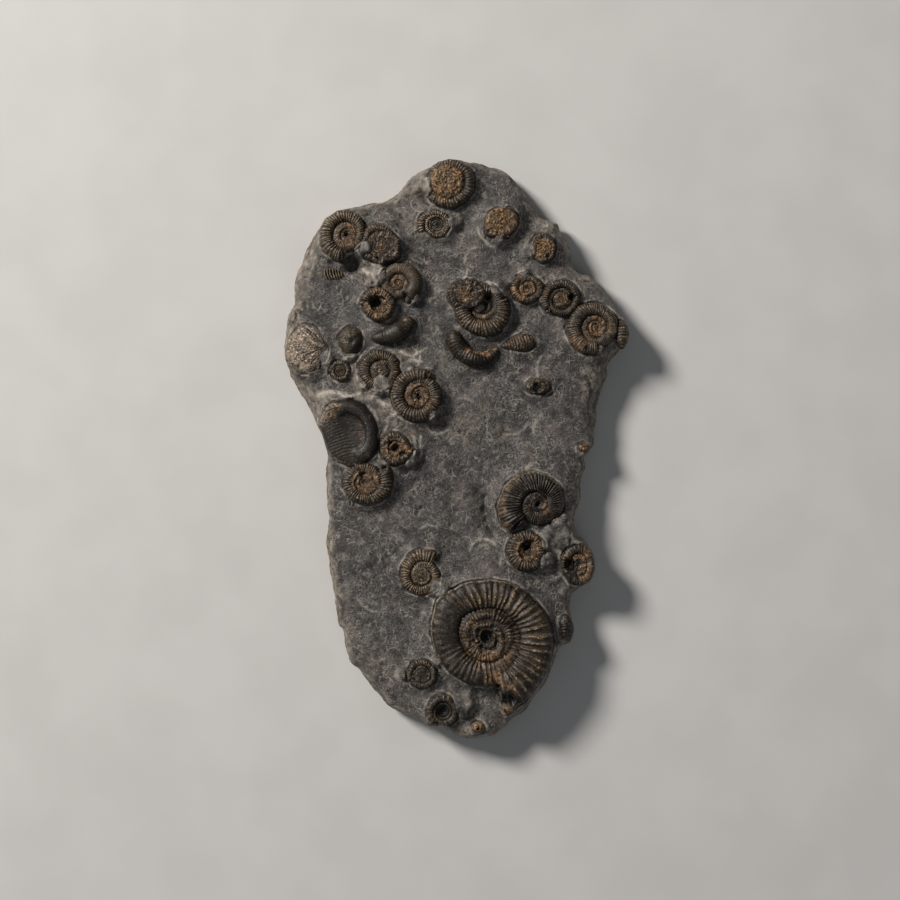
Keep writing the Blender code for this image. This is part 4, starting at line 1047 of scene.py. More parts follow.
def whorl_points(coil, whorls, groove):
    """The whorl's surface before crumbs, its middle filled up and its mouth broken down."""
    across, up, angle, share = whorls.across, whorls.up, whorls.angle, whorls.share
    thick = WHORL_THICK * coil.high
    middle = seat_level(coil.node) + coil.high - thick - coil.pits * coil.high * (1 - share) * 0.8
    half = (whorls.outer - whorls.inner) / 2
    radius = (whorls.outer + whorls.inner) / 2 + (half - groove * 0.7) * across
    lift = thick * share ** 0.75
    filled = smoothstep((coil.filled - radius) / 2.0) * coil.fill
    if coil.level:
        lift = mix(lift, 0.9 * thick, filled)
    height = middle + np.maximum((lift - groove) * up, lift * filled)
    x = coil.x + radius * np.cos(angle) * whorls.bend
    y = coil.y + radius * np.sin(angle) * whorls.bend
    height = height + coil.tilt[0] * (x - coil.x) + coil.tilt[1] * (y - coil.y)
    broken = smoothstep(1 - np.radians(whorls.behind) * coil.full / MOUTH_BREAK) * np.clip(up, 0, 1)
    height = height - broken * coil.high * (0.4 + 0.8 * whorls.grain(2.6, 46))
    return listed(x, y, height)


def sink_voids(coil, points):
    """Lowers the points in the voids and in the coil's hollow middle, and says how far they are painted dark
    as shade there.
    """
    dark, depth = ragged_spots(points, DENTS, 1 + 0.45 * grain(points, 2.2, 65), 1.0, 0.45)
    points[:, 2] -= depth
    if coil.hole:
        radius = coil.hole * coil.full
        hollow = smoothstep((radius * 1.15 - plan_distance(points, coil.x, coil.y)) / (0.5 * radius))
        points[:, 2] -= 0.3 * coil.high * hollow
        dark = np.maximum(dark, hollow)
    return dark


def pale_ribs(coil, angle, across, crest):
    """How pale the crests of a coil's ribs are."""
    if coil.node not in PALE_RIBS:
        return 0.0
    first, last, place, strength = PALE_RIBS[coil.node]
    there = np.exp(-((across - place) / 0.33) ** 2) * smoothstep((crest - 0.3) / 0.3)
    return strength * arc_share(np.degrees(angle), first, last, 0.3) * there


def pale_rim(coil, bearing, section):
    """How pale a coil's outer edge is: only on a stretch of it, and only low on its outside."""
    if coil.node not in RIMS:
        return 0.0
    first, last, strength = RIMS[coil.node]
    edge = smoothstep((np.cos(section) - 0.9) / 0.08) * smoothstep((np.sin(section) + 0.3) / 0.2)
    return strength * arc_share(np.degrees(bearing), first, last, 0.3) * edge


def make_coil(coil, material, slot):
    """A whorl swept in along its spiral, each turn overlapping the last, with ribs, crumbs and voids."""
    whorls = lay_whorls(coil)
    section = whorls.section
    crest, groove = rib_relief(coil, whorls)
    points = whorl_points(coil, whorls, groove)
    up = whorls.every(whorls.up)
    from_middle = plan_distance(points, coil.x, coil.y)
    bearing = bearing_from(points, coil.x, coil.y)
    rough, patches = grain(points, 1.3, 41), grain(points, 5.0, 42)
    # Dark patches: partly the shells' own colour, partly painted shade on the shaded sides of some fossils
    darkness_and_shade, heap = strongest_at(points, DARK_AND_SHADED), strongest_at(points, CRUMBLED)
    core = smoothstep((coil.core * coil.full * 1.05 - from_middle) / 2.5)
    packed = smoothstep((coil.filled * 1.05 - from_middle) / 2.5) * coil.fill
    gilt = strongest_at(points, GILT) * (0.75 + 0.4 * patches + 0.7 * grain(points, 2.4, 49))
    gold = coil.gold * (0.65 + 1.1 * patches) + core * (0.75 + 0.6 * patches) + gilt - 0.8 * darkness_and_shade
    gold = np.clip(gold, 0, 1)

    spokes = grain(np.column_stack((7 * np.cos(bearing), 7 * np.sin(bearing), 0.3 * from_middle)), 1.0, 50)
    crumbs = (coil.grain * (0.45 + 0.75 * gold) + 0.4 * core) * (rough + 0.5 * grain(points, 0.7, 43))
    crumbs += packed * (0.9 * grain(points, 2.4, 48) + 0.8 * grain(points, 4.2, 57) + 0.1 * rough)
    crumbs += heap * (0.9 * spokes + 0.5 * grain(points, 2.2, 56))
    chips = smoothstep((grain(points, 3.2, 44) - 0.3) / 0.12) * CHIP_DEPTH * min(1.0, coil.grain * 4)
    crumbled = np.minimum(np.maximum(heap, packed * (coil.level > 0)), 1)
    rib = (crest.ravel() if coil.ribs else np.clip(0.5 + rough, 0, 1)) * (1 - 0.6 * darkness_and_shade)
    rib = mix(rib, np.clip(0.5 + 0.6 * rough + 0.6 * spokes, 0, 1), crumbled)
    points[:, 2] += (crumbs - chips) * np.clip(up, 0, 1)

    # Painted shade: each whorl's inner side and underside, its voids, and in some patches the grooves
    # between its ribs are darkened
    inner_side = smoothstep((-np.cos(section) - 0.72) / 0.28)
    underside = smoothstep((0.1 - np.sin(section)) / 0.5)
    seam_and_underside_shade = whorls.every(np.maximum(inner_side, underside)) * (1 - 0.7 * packed) * (1 - 0.6 * crumbled)
    deep = np.maximum(seam_and_underside_shade, sink_voids(coil, points))
    tanned = strongest_at(points, TANNED)
    black = np.maximum(0.75 * tanned, 0.85 * strongest_at(points, SHARP))
    deep = np.maximum(deep, black * smoothstep((0.35 - rib) / 0.3) * (up > 0.2))

    lit = pale_ribs(coil, whorls.angle, whorls.across, rib.reshape(whorls.shape)) * (whorls.up > 0.1)
    rim = pale_rim(coil, bearing.reshape(whorls.shape), section)
    values = {"rib": rib, "gold": gold, "deep": deep, "chip": chips / CHIP_DEPTH,
              "rim": whorls.every(np.maximum(rim, lit)),
              "tone": np.clip((coil.tone + 0.25 * patches + tanned) * (1 - 0.7 * darkness_and_shade), 0, 1),
              "plain": (1 - core) * (coil.ribs > 0) * max(0.0, 1 - coil.depth / 0.4)}
    return sweep_piece(coil.node, points, whorls.shape, values, material)


def sweep_piece(node, points, shape, values, material):
    """Skin over stations of equal sections, with a cap at either end."""
    stations, around = shape
    rows = [list(range(k * around, (k + 1) * around)) for k in range(stations)]
    faces = []
    for above, below in zip(rows, rows[1:]):
        faces += band(above, below)
    faces += [tuple(rows[0]), tuple(rows[-1])]
    return new_piece(node, points, faces, values, material)


def dome_points(x, y, long, away, rings, step, height_at, base):
    """A heightfield over an outline, closed below, with each point's share of the way out to the outline.

    Its rings of points go from the middle outward and then down under the stone."""
    angle, reach = outline_of(away, x, y, long, step)
    around = len(angle)
    shares = np.append(np.linspace(1 / rings, 1, rings) ** 0.85, (1.0, 0.9))
    radius = shares[:, None] * reach[None, :]
    flat = listed(x + radius * np.cos(angle), y + radius * np.sin(angle))
    share = np.repeat(shares, around)
    height = height_at(flat, share)
    height[rings * around:] = base - FOOT_DEPTH
    height[-around:] = base - LOWEST_DEPTH
    top = float(height_at(np.array([[x, y]]), np.zeros(1))[0])
    points = np.concatenate((np.column_stack((flat, height)), [[x, y, top], [x, y, base - LOWEST_DEPTH]]))
    centre, under = len(flat), len(flat) + 1
    faces = []
    last = (rings + 1) * around
    for j in range(around):
        after = (j + 1) % around
        faces.append((centre, j, after))
        faces.append((under, last + after, last + j))
        for row in range(0, last, around):
            faces.append((row + j, row + around + j, row + around + after, row + after))
    return points, faces, np.append(share, (0.0, 1.0))


def darkened_and_shaded(points, values):
    """The same numbers with the ribs and the tone darkened in the dark patches, which are partly the shells'
    own colour and partly painted shade.
    """
    darkness_and_shade = strongest_at(points, DARK_AND_SHADED)
    values["rib"] = values["rib"] * (1 - 0.75 * darkness_and_shade)
    values["tone"] = values["tone"] * (1 - 0.8 * darkness_and_shade)
    return values


def make_lump(lump, material, slot):
    """A worn lump with ribs across its length."""
    base = seat_level(lump.node)

    def ribs_at(flat):
        along, across = local_axes(flat, lump.x, lump.y, lump.turned)
        return 0.5 + 0.5 * np.cos((along + 0.035 * across ** 2) / lump.ribs * 2 * pi)

    def height_at(flat, share):
        _, across = local_axes(flat, lump.x, lump.y, lump.turned)
        lopsided = 1 - 0.35 * lump.lean * across / lump.wide
        round_top = np.maximum(0, 1 - share ** 2.4) ** 0.55 * lopsided
        worn = 1 + 0.22 * grain(flat, 4.0, 51)
        crumbs = lump.crumbs * (grain(flat, 1.4, 52) + 0.4 * grain(flat, 0.7, 53)) * (share < 0.97)
        return base + lump.high * round_top * worn - lump.depth * (1 - ribs_at(flat)) + crumbs

    away = partial(lump_away, lump)
    points, faces, share = dome_points(lump.x, lump.y, lump.long, away, 20, 0.75, height_at, base)
    patches = grain(points, 3.5, 54)
    rib = mix(0.55 + 0.3 * patches, ribs_at(points[:, :2]), min(1.0, lump.depth / 0.3))
    # deep: painted shade round the lump's foot, where it meets the stone
    values = {"rib": np.clip(rib, 0, 1), "deep": smoothstep((share - 0.9) / 0.1),
              "gold": np.clip(lump.gold * (0.9 + 1.4 * patches), 0, 1),
              "tone": np.clip(lump.tone + 0.3 * patches, 0, 1),
              "plain": np.full(len(points), 0.8 * (lump.crumbs < 0.15))}
    if lump.node in PITS:
        right, up, reach, depth = PITS[lump.node]
        ragged = 1.4 * (1 + 0.5 * grain(points, 2.0, 55))
        sunk = smoothstep(spread(points, lump.x + right, lump.y + up, reach) * ragged)
        points[:, 2] -= depth * sunk * (share < 0.8)
        # The pit is painted dark as shade
        values["deep"] = np.maximum(values["deep"], sunk)
    return new_piece(lump.node, points, faces, darkened_and_shaded(points, values), material)


def make_arch(arch, material, slot):
    """A whorl seen from its back: a tube bent along an arc, thin at both ends, with ribs across it."""
    share = np.linspace(0, 1, ARCH_STATIONS)[:, None]
    angle, half = (row[:, None] for row in arch_line(arch, ARCH_STATIONS)[2:])
    section = np.radians(np.linspace(0, 360, 24, endpoint=False))[None, :]
    across, up = signed_power(np.cos(section), 0.9), signed_power(np.sin(section), 0.8)
    shape = share.size, section.size
    crest = 0.5 + 0.5 * np.cos(angle * arch.radius / ARCH_RIB * 2 * pi)
    groove = arch.groove * (1 - crest) * (np.sin(section) > -0.2)
    radius = arch.radius + (half - groove) * across
    rise = arch.high * (0.3 + 0.7 * swell(arch, share)) * (1 + 0.1 * np.sin(13 * share))
    height = seat_level(arch.node) + (rise - groove) * np.where(up > 0, up, 0.35 * up)
    x, y = arch.x + radius * np.cos(angle), arch.y + radius * np.sin(angle)
    points = listed(x, y, height)
    patches = grain(points, 4.0, 61)
    inner_top = smoothstep((arch.golden_to - across) / 0.5) * smoothstep((up - 0.3) / 0.3)
    golden = (inner_top * smoothstep((share - arch.golden_from) / 0.2) * 0.8).ravel()
    gold = np.clip(arch.gold * (0.5 + patches) + golden * (0.55 + 1.3 * patches), 0, 1)
    upper = np.broadcast_to(np.clip(up, 0, 1), shape).ravel()
    points[:, 2] += (0.12 + 0.6 * gold) * grain(points, 1.3, 62) * upper
    # deep: the arch's underside painted dark as shade
    values = {"rib": np.broadcast_to(crest * 0.7, shape).ravel(), "gold": gold,
              "deep": np.broadcast_to(smoothstep((0.25 - np.sin(section)) / 0.4), shape).ravel(),
              "tone": np.clip(arch.tone + 0.25 * patches, 0, 1),
              "plain": np.full(len(points), 0.5 * (arch.groove < 0.1))}
    return sweep_piece(arch.node, points, shape, darkened_and_shaded(points, values), material)


def make_comb(material, slot):
    """The edge of a buried shell: thin curved ribs side by side that run down into the stone."""
    name, x, y, length, width, ribs, high = COMB
    base = seat_level(name)

    def rib_at(flat):
        bent = flat[:, 0] - x - 0.045 * (flat[:, 1] - y - 3) ** 2 + 0.5 * grain(flat, 4.0, 72)
        return 0.5 + 0.5 * np.cos(bent / (length / ribs) * 2 * pi)

    def height_at(flat, share):
        fall = smoothstep((1 - share) / 0.25) * smoothstep((flat[:, 1] - y + width * 0.6) / (width * 0.45))
        return base - 1.2 + (high + 0.6) * rib_at(flat) ** 1.3 * fall + 0.25 * grain(flat, 1.0, 71)

    away = partial(oval_away, x=x, y=y, long=length / 2, wide=width / 2, turned=0)
    points, faces, _ = dome_points(x, y, length / 2, away, 24, 0.3, height_at, base)
    sharp = rib_at(points[:, :2]) ** 1.6
    upper = smoothstep((points[:, 1] - y + 1) / 3)
    # deep: the gaps between the ribs painted dark as shade, in the upper part
    values = {"rib": sharp, "gold": sharp * (0.25 + 0.6 * upper), "deep": (1 - sharp) * 0.8 * upper,
              "tone": np.ones(len(points)), "rim": sharp * (1 - 0.6 * upper)}
    return new_piece(name, points, faces, values, material)


def make_worn(material, slot):
    """A coil worn to a low dome of wrinkled, crumbling shell. The wrinkles run together on the right."""
    name, x, y, long, _, _, high = WORN
    base = seat_level(name)
    gather = (x + 13.0, y + 1.5)

    def wrinkles(flat):
        dx, dy = flat[:, 0] - gather[0], flat[:, 1] - gather[1]
        bearing, away = np.arctan2(dy, -dx), np.hypot(dx, dy)
        lines = np.column_stack((bearing * 15.0 + 0.5 * grain(flat, 7.0, 81), away * 0.10, 0 * away))
        folds = 1 - np.abs(grain(lines, 1.0, 82)) * 1.9
        stretched = flat * (0.45, 1.0) + 1.2 * np.column_stack((grain(flat, 5.0, 87), grain(flat, 5.0, 88)))
        knobs = 1 - np.abs(grain(stretched, 1.5, 83)) * 2.0
        return np.clip(mix(folds, knobs, smoothstep((away - 15) / 8)), 0, 1)

    def height_at(flat, share):
        dome = np.maximum(0, 1 - share ** 2.2) ** 0.5
        crumbs = 0.35 * grain(flat, 1.2, 84) + 0.2 * grain(flat, 0.6, 85)
        return base - 0.8 + high * dome - 0.5 * (1 - wrinkles(flat)) + crumbs * (share < 0.97)

    points, faces, _ = dome_points(x, y, long, worn_away, 44, 0.6, height_at, base)
    flat = points[:, :2]
    creases, patches = 1 - wrinkles(flat), grain(points, 4.0, 86)
    left = smoothstep((x + 4 - flat[:, 0]) / 12)
    right = smoothstep((flat[:, 0] - x - 2) / 9)
    spot, cream = spread(flat, x - 7.5, y - 12.5, 5.5), spread(flat, x - 2.0, y - 11.5, 5.0)
    # deep: the creases painted dark as shade, and darker in one spot
    values = {"rib": 1 - 0.75 * creases, "gold": np.clip(0.15 + 0.25 * left + patches, 0, 0.7) * (1 - spot),
              "rim": np.clip(0.25 * left + cream, 0, 1), "chip": smoothstep((patches + 0.1) / 0.3) * right,
              "deep": np.clip(0.55 * smoothstep((creases - 0.5) / 0.4) + spot, 0, 1),
              "tone": np.clip(0.45 + 0.35 * left + 0.5 * patches - spot - 0.35 * right, 0, 1)}
    return new_piece(name, points, faces, values, material)


def make_imprint(material, slot):
    """A large oval shell cut by the slab's side: a smooth dark band on its right, ribs to the left."""
    name, x, y, long, narrow, turned, high = IMPRINT
    base = seat_level(name)
    wide = long * narrow

    def parts(flat):
        """Share of the way out to the oval, and how far it is band, hollow, seam, ribs and knobs there."""
        along, across = local_axes(flat, x, y, turned)
        inside = np.hypot(along / long, across / wide)
        band = smoothstep((-across / wide + 0.25) / 0.3) * smoothstep((inside - 0.45) / 0.12)
        hollow = np.exp(-((along - 3) / 9) ** 2 - ((across + 1) / 6) ** 2)
        seam = np.exp(-((inside - 0.55) / 0.035) ** 2) * smoothstep(-across / wide / 0.3)
        lower_ribs = smoothstep((0.05 - along / long) / 0.2) * (1 - band * 0.8)
        left_ribs = smoothstep((across / wide - 0.05) / 0.25)
        ribbed = np.maximum(lower_ribs, left_ribs) * smoothstep(0.7 + 1.5 * grain(flat, 8.0, 95))
        ragged = 0.14 * grain(flat, 4.0, 94)
        knobs = smoothstep((along / long - 0.45 + ragged) / 0.35)
        knobs = knobs * smoothstep((across / wide + 0.1 + ragged) / 0.5)
        return inside, band, hollow, seam, ribbed, knobs

    def ribs_at(flat):
        bent = flat[:, 1] - y + 0.012 * (flat[:, 0] - x - 8) ** 2
        return 0.5 + 0.5 * np.cos(bent / 2.1 * 2 * pi + 2.6 * grain(flat, 8.0, 91))

    def height_at(flat, share):
        inside, band, hollow, seam, ribbed, knobs = parts(flat)
        raised = np.sin(pi * np.clip((inside - 0.45) / 0.6, 0, 1)) ** 0.7 * band
        dome = np.maximum(0, 1 - np.maximum(inside, share) ** 9) ** 0.5
        top = high * (0.45 * dome + 0.26 * raised - 0.13 * hollow) - 0.8 * seam
        top -= 0.22 * ribbed * (1 - ribs_at(flat)) * (1 - knobs) * dome
        return base - 0.4 + top + (0.10 + 0.8 * knobs) * grain(flat, 1.5, 92) * (share < 0.98)

    points, faces, rings = dome_points(x, y, long, imprint_away, 60, 0.7, height_at, base)
    flat = points[:, :2]
    inside, band, hollow, seam, ribbed, knobs = parts(flat)
    patches = grain(points, 5.0, 93)
    edge = smoothstep((inside - 0.86) / 0.1)
    gilt = strongest_at(points, GILT) * (0.9 + patches)
    foot = smoothstep((rings - 0.97) / 0.03)
    # deep: painted shade at the foot, along the band's edge, in the seam and the hollow, and an even darker
    # tone over the whole shell
    values = {"rib": np.clip(ribbed * ribs_at(flat) * (1 - band) * 0.35 + 0.12 + 0.25 * patches, 0, 0.6),
              "gold": np.clip(knobs * (0.8 + patches) + 0.2 * hollow + gilt, 0, 1),
              "deep": np.clip(foot + 0.6 * edge * band + 0.6 * seam + 0.45 * hollow + 0.24, 0, 1),
              "tone": np.clip(0.24 - 0.15 * band + 0.25 * patches, 0, 1), "rim": 0.4 * edge * (1 - band),
              "plain": 1 - knobs}
    return new_piece(name, points, faces, values, material)


# Materials

# Colours of the stone
DARK_STONE = (0.036, 0.033, 0.032)
PALE_STONE = (0.112, 0.102, 0.094)
WARM_STONE = (0.125, 0.100, 0.092)
BEIGE_STONE = (0.36, 0.295, 0.22)
CURVE = (0.34, 0.30, 0.255)
SPECK = (0.36, 0.315, 0.265)
SCRATCH = (0.36, 0.325, 0.28)
PIT = (0.020, 0.018, 0.017)
LIP = (0.52, 0.465, 0.395)
# Painted shade in the gaps round the fossils and in hollows, and the dark of cracks
SHADE_AND_CRACK_COLOUR = (0.018, 0.016, 0.014)
DARK_BREAK = (0.085, 0.075, 0.066)      # its broken side
PALE_BREAK = (0.27, 0.235, 0.198)
JOINT = (0.022, 0.020, 0.018)

# Thin curves in the stone: size of the cells they lie in, width, how far they are pushed about, waves' size
CURVES = ((13.0, 0.4, 3.0, 9.0), (8.0, 0.34, 2.0, 6.0), (5.0, 0.3, 1.5, 4.0), (27.0, 0.5, 4.0, 15.0))

# Colours on all shells
CALCITE = (0.56, 0.42, 0.28)
CHIPPED = (0.115, 0.095, 0.075)
# Colour of the painted shade in seams, undersides, voids, gaps and grooves, and of the imprint's darker tone
BLACK = (0.006, 0.005, 0.004)
GLINT = (0.42, 0.35, 0.27)
RIM_COLOUR = (0.44, 0.37, 0.275)

# Shells by slot: grooves (dark, as painted shade), pale ribs, golden crumbs, how much paler lit ribs are,
# least roughness
SHELLS = {
    "dark_shell": ((0.010, 0.0072, 0.0055), (0.156, 0.107, 0.058), (0.245, 0.134, 0.058), 2.1, 0.4),
    "golden_shell": ((0.010, 0.0065, 0.004), (0.19, 0.130, 0.072), (0.34, 0.190, 0.080), 2.1, 0.4),
    "worn_shell": ((0.030, 0.025, 0.021), (0.47, 0.37, 0.29), (0.42, 0.29, 0.20), 1.2, 0.66)}

# The fossils that are not in the dark slot
GOLDEN = (
    "large_ammonite", "ammonite_01", "ammonite_03", "ammonite_04", "ammonite_07", "ammonite_19",
    "ammonite_24", "ammonite_27", "shell_fragment_05", "shell_fragment_09")
PALE = ("ammonite_15", "shell_fragment_08")

DIM_FLOOR = (0.66, 0.65, 0.63)
PALE_FLOOR = (0.70, 0.69, 0.67)


def scaled(colour, factor):
    return tuple(factor * part for part in colour)


class Shading:
    """A material being built: each method adds a node and returns its output."""

    def __init__(self, name):
        self.material = bpy.data.materials.new(name)
        self.material.use_nodes = True
        self.tree = self.material.node_tree
        self.shader = self.tree.nodes["Principled BSDF"]
        self.places = self.tree.nodes.new("ShaderNodeTexCoord").outputs["Object"]

    def put(self, socket, value):
        if isinstance(value, bpy.types.NodeSocket):
            self.tree.links.new(value, socket)
        elif isinstance(value, tuple) and len(value) == 3 and socket.type == "RGBA":
            socket.default_value = (*value, 1)
        else:
            socket.default_value = value

    def number(self, name):
        node = self.tree.nodes.new("ShaderNodeAttribute")
        node.attribute_name = name
        return node.outputs["Fac"]

    def math(self, operation, first, second=0.0):
        node = self.tree.nodes.new("ShaderNodeMath")
        node.operation = operation
        self.put(node.inputs[0], first)
        self.put(node.inputs[1], second)
        return node.outputs[0]

    def times(self, first, second):
        return self.math("MULTIPLY", first, second)

    def largest(self, values):
        return reduce(partial(self.math, "MAXIMUM"), values)

    def span(self, value, low, high, to_low=0.0, to_high=1.0):
        """The value's share of the way from low to high, eased, then spread over the new range."""
        node = self.tree.nodes.new("ShaderNodeMapRange")
        node.interpolation_type = "SMOOTHSTEP"
        for name, number in (("Value", value), ("From Min", low), ("From Max", high),
                             ("To Min", to_low), ("To Max", to_high)):
            self.put(node.inputs[name], number)
        return node.outputs["Result"]

    def blend(self, share, first, second, way="MIX"):
        node = self.tree.nodes.new("ShaderNodeMix")
        node.data_type = "RGBA"
        node.blend_type = way
        node.clamp_factor = True
        self.put(node.inputs["Factor"], share)
        self.put(node.inputs[6], first)
        self.put(node.inputs[7], second)
        return node.outputs[2]

    def shaded(self, colour, factor):
        """The colour made darker or lighter by a factor."""
        return self.blend(1.0, colour, factor, "MULTIPLY")

    def texture(self, kind, size, places):
        """A texture node whose features are about that many millimetres across."""
        node = self.tree.nodes.new("ShaderNodeTex" + kind)
        self.put(node.inputs["Vector"], places or self.places)
        node.inputs["Scale"].default_value = 1 / (size * MM)
        return node

    def noise(self, size, detail=3.0, places=None, roughness=0.55, warp=0.0):
        """Cloud noise, 0 to 1."""
        node = self.texture("Noise", size, places)
        node.inputs["Detail"].default_value = detail
        node.inputs["Roughness"].default_value = roughness
        node.inputs["Distortion"].default_value = warp
        return node.outputs["Fac"]

    def moved(self, amount, size):
        """The places pushed about by noise, in millimetres."""
        source = self.texture("Noise", size, None)
        push = self.tree.nodes.new("ShaderNodeVectorMath")
        push.operation = "MULTIPLY_ADD"
        self.put(push.inputs[0], source.outputs["Color"])
        push.inputs[1].default_value = (2 * amount * MM,) * 3
        self.put(push.inputs[2], self.places)
        return push.outputs[0]

    def stretched(self, places, turned, along, across):
        """The places turned in plan and pulled out along one way, for strokes and bedding."""
        node = self.tree.nodes.new("ShaderNodeMapping")
        node.vector_type = "TEXTURE"
        node.inputs["Rotation"].default_value = (0, 0, radians(turned))
        node.inputs["Scale"].default_value = (along, across, across)
        self.put(node.inputs["Vector"], places)
        return node.outputs[0]

    def cells(self, size, places, feature="F1"):
        node = self.texture("Voronoi", size, places)
        node.feature = feature
        return node

    def edges(self, size, places):
        """Distance from the borders of cells, as a share of their size."""
        return self.cells(size, places, "DISTANCE_TO_EDGE").outputs["Distance"]

    def rings(self, size, width, places):
        """Thin curved lines: a circle round the middle of each cell, its radius drawn by the cell."""
        node = self.cells(size, places)
        parts = self.tree.nodes.new("ShaderNodeSeparateColor")
        self.put(parts.inputs[0], node.outputs["Color"])
        radius = self.math("MULTIPLY_ADD", parts.outputs[0], 0.32)
        radius.node.inputs[2].default_value = 0.16
        off = self.math("ABSOLUTE", self.math("SUBTRACT", node.outputs["Distance"], radius))
        return self.span(off, width / size, 0.0)

    def bump(self, height, strength, reach):
        node = self.tree.nodes.new("ShaderNodeBump")
        node.inputs["Strength"].default_value = strength
        node.inputs["Distance"].default_value = reach * MM
        self.put(node.inputs["Height"], height)
        self.put(self.shader.inputs["Normal"], node.outputs["Normal"])

    def finish(self, colour, roughness):
        self.put(self.shader.inputs["Base Color"], colour)
        self.put(self.shader.inputs["Roughness"], roughness)
        return self.material


def clouded_stone(s, grit, combed):
    """Colour of the plain stone, clouded and gritty, with less grit where tools have combed it."""
    clouds = s.noise(30.0, 4.0, warp=0.6)
    mottle = s.noise(5.0, 5.0, roughness=0.72, warp=0.8)
    tone = s.math("ADD", s.times(clouds, 0.35), s.times(mottle, 0.65))
    colour = s.blend(s.span(tone, 0.38, 0.62), DARK_STONE, PALE_STONE)
    colour = s.blend(s.span(s.noise(14.0), 0.5, 0.66, 0.0, 0.5), colour, WARM_STONE)
    quiet, lively = s.span(combed, 0, 1, 0.22, 0.72), s.span(combed, 0, 1, 1.75, 1.22)
    colour = s.shaded(colour, s.span(grit, 0.33, 0.67, quiet, lively))
    return s.shaded(colour, s.span(s.noise(9.0, 3.0, warp=0.5), 0.4, 0.6, 0.82, 1.2))


def tool_strokes(s):
    """Fine strokes, in one of two directions from place to place."""
    strokes = s.noise(0.7, 2.0, s.stretched(s.moved(6.0, 32.0), 70, 6.0, 1.0), 0.7)
    crossed = s.noise(0.65, 2.0, s.stretched(s.moved(7.0, 26.0), 20, 6.0, 1.0), 0.7)
    return s.blend(s.span(s.noise(17.0, 1.0), 0.46, 0.54), strokes, crossed)


def marked_stone(s, colour, streaks):
    """The stone's colour with fine pale curves, specks, scratches and dark pits."""
    curves = [s.rings(size, width, s.moved(push, waves)) for size, width, push, waves in CURVES]
    web = s.times(s.span(s.edges(15.0, s.moved(6.0, 12.0)), 0.022, 0.0), 0.9)
    lines = s.times(s.largest((*curves, web)), s.span(s.noise(6.0, 3.0), 0.46, 0.6))
    colour = s.blend(s.times(lines, 0.75), colour, CURVE)
    specks = s.times(s.span(s.noise(1.3, 2.0), 0.62, 0.70), s.span(s.noise(9.0, 3.0), 0.45, 0.6))
    colour = s.blend(s.times(specks, 0.8), colour, SPECK)
    scratches = s.times(s.span(streaks, 0.63, 0.70), s.span(s.noise(7.0, 3.0), 0.45, 0.6))
    colour = s.blend(s.times(scratches, 0.6), colour, SCRATCH)
    return s.blend(s.times(s.span(s.noise(1.8, 3.0), 0.36, 0.30), 0.5), colour, PIT)


def broken_side(s):
    """Colour of the broken side: bedded, with dark joints between its blocks."""
    bedding = s.noise(4.0, 4.0, s.stretched(s.places, 0, 3.0, 1.0))
    broken = s.blend(s.span(bedding, 0.35, 0.65), DARK_BREAK, PALE_BREAK)
    joints = s.span(s.edges(17.0, s.moved(4.0, 9.0)), 0.035, 0.012)
    shades = s.shaded(broken, s.span(s.noise(11.0, 2.0), 0.4, 0.6, 0.6, 1.3))
    return s.blend(s.times(joints, s.span(s.noise(8.0), 0.45, 0.55)), shades, JOINT)


def stone_material():
    """Grey limestone: clouded, speckled with shell crumbs, crossed by fine pale curves, combed by tools."""
    s = Shading("grey limestone")
    grit = s.noise(1.15, 2.0, roughness=0.75)
    combed = s.span(s.noise(22.0, 3.0), 0.42, 0.58)
    colour = clouded_stone(s, grit, combed)
    streaks = tool_strokes(s)
    stroked = s.shaded(colour, s.span(streaks, 0.36, 0.64, 0.5, 1.6))
    colour = marked_stone(s, s.blend(s.span(combed, 0, 1, 0.12, 0.75), colour, stroked), streaks)
    colour = s.blend(s.times(s.number("side"), 0.8), colour, broken_side(s))
    beige = s.times(s.number("beige"), s.span(s.noise(3.5, 4.0, warp=0.7), 0.42, 0.62))
    colour = s.blend(s.times(beige, 0.85), colour, BEIGE_STONE)
    lip = s.times(s.number("lip"), s.span(s.noise(2.2, 3.0), 0.32, 0.6, 0.35, 1.0))
    colour = s.blend(s.times(lip, 0.95), colour, LIP)
    # Painted shade in the gaps round the fossils and in hollows, and dark cracks
    colour = s.blend(s.times(s.number("groove"), 0.8), colour, SHADE_AND_CRACK_COLOUR)
    height = s.math("ADD", s.times(streaks, 0.8), s.times(grit, 0.8))
    s.bump(s.math("ADD", height, s.times(s.noise(2.6, 4.0), 1.6)), 0.9, 0.42)
    return s.finish(colour, s.span(grit, 0.3, 0.7, 0.62, 0.85))


def ribbed_shell(s, mottle, dark, pale, lit):
    """Colour of the ribs: the grooves between them painted dark as shade, lighter crests, and painted
    highlights on some lit crests.
    """
    tone = s.number("tone")
    groove = s.blend(tone, dark, scaled(dark, 3.2))
    crest = s.blend(tone, scaled(pale, 0.3), pale)
    rib = s.times(s.number("rib"), s.span(mottle, 0.25, 0.6, 0.55, 1.0))
    lit_crest_highlight = s.times(s.span(s.number("rib"), 0.7, 0.95), s.span(s.noise(1.6, 3.0), 0.44, 0.6))
    return s.blend(s.times(lit_crest_highlight, 0.85), s.blend(rib, groove, crest), scaled(pale, lit))


def golden_crumbs(s, crumbs, golden):
    """Colour of crumbling calcite, from dark gaps to pale grains."""
    ochre = s.blend(s.span(s.noise(3.5, 2.0), 0.4, 0.62), scaled(golden, 0.5), golden)
    gold = s.blend(s.span(crumbs, 0.41, 0.54), scaled(golden, 0.13), ochre)
    return s.blend(s.span(crumbs, 0.555, 0.63), gold, CALCITE)


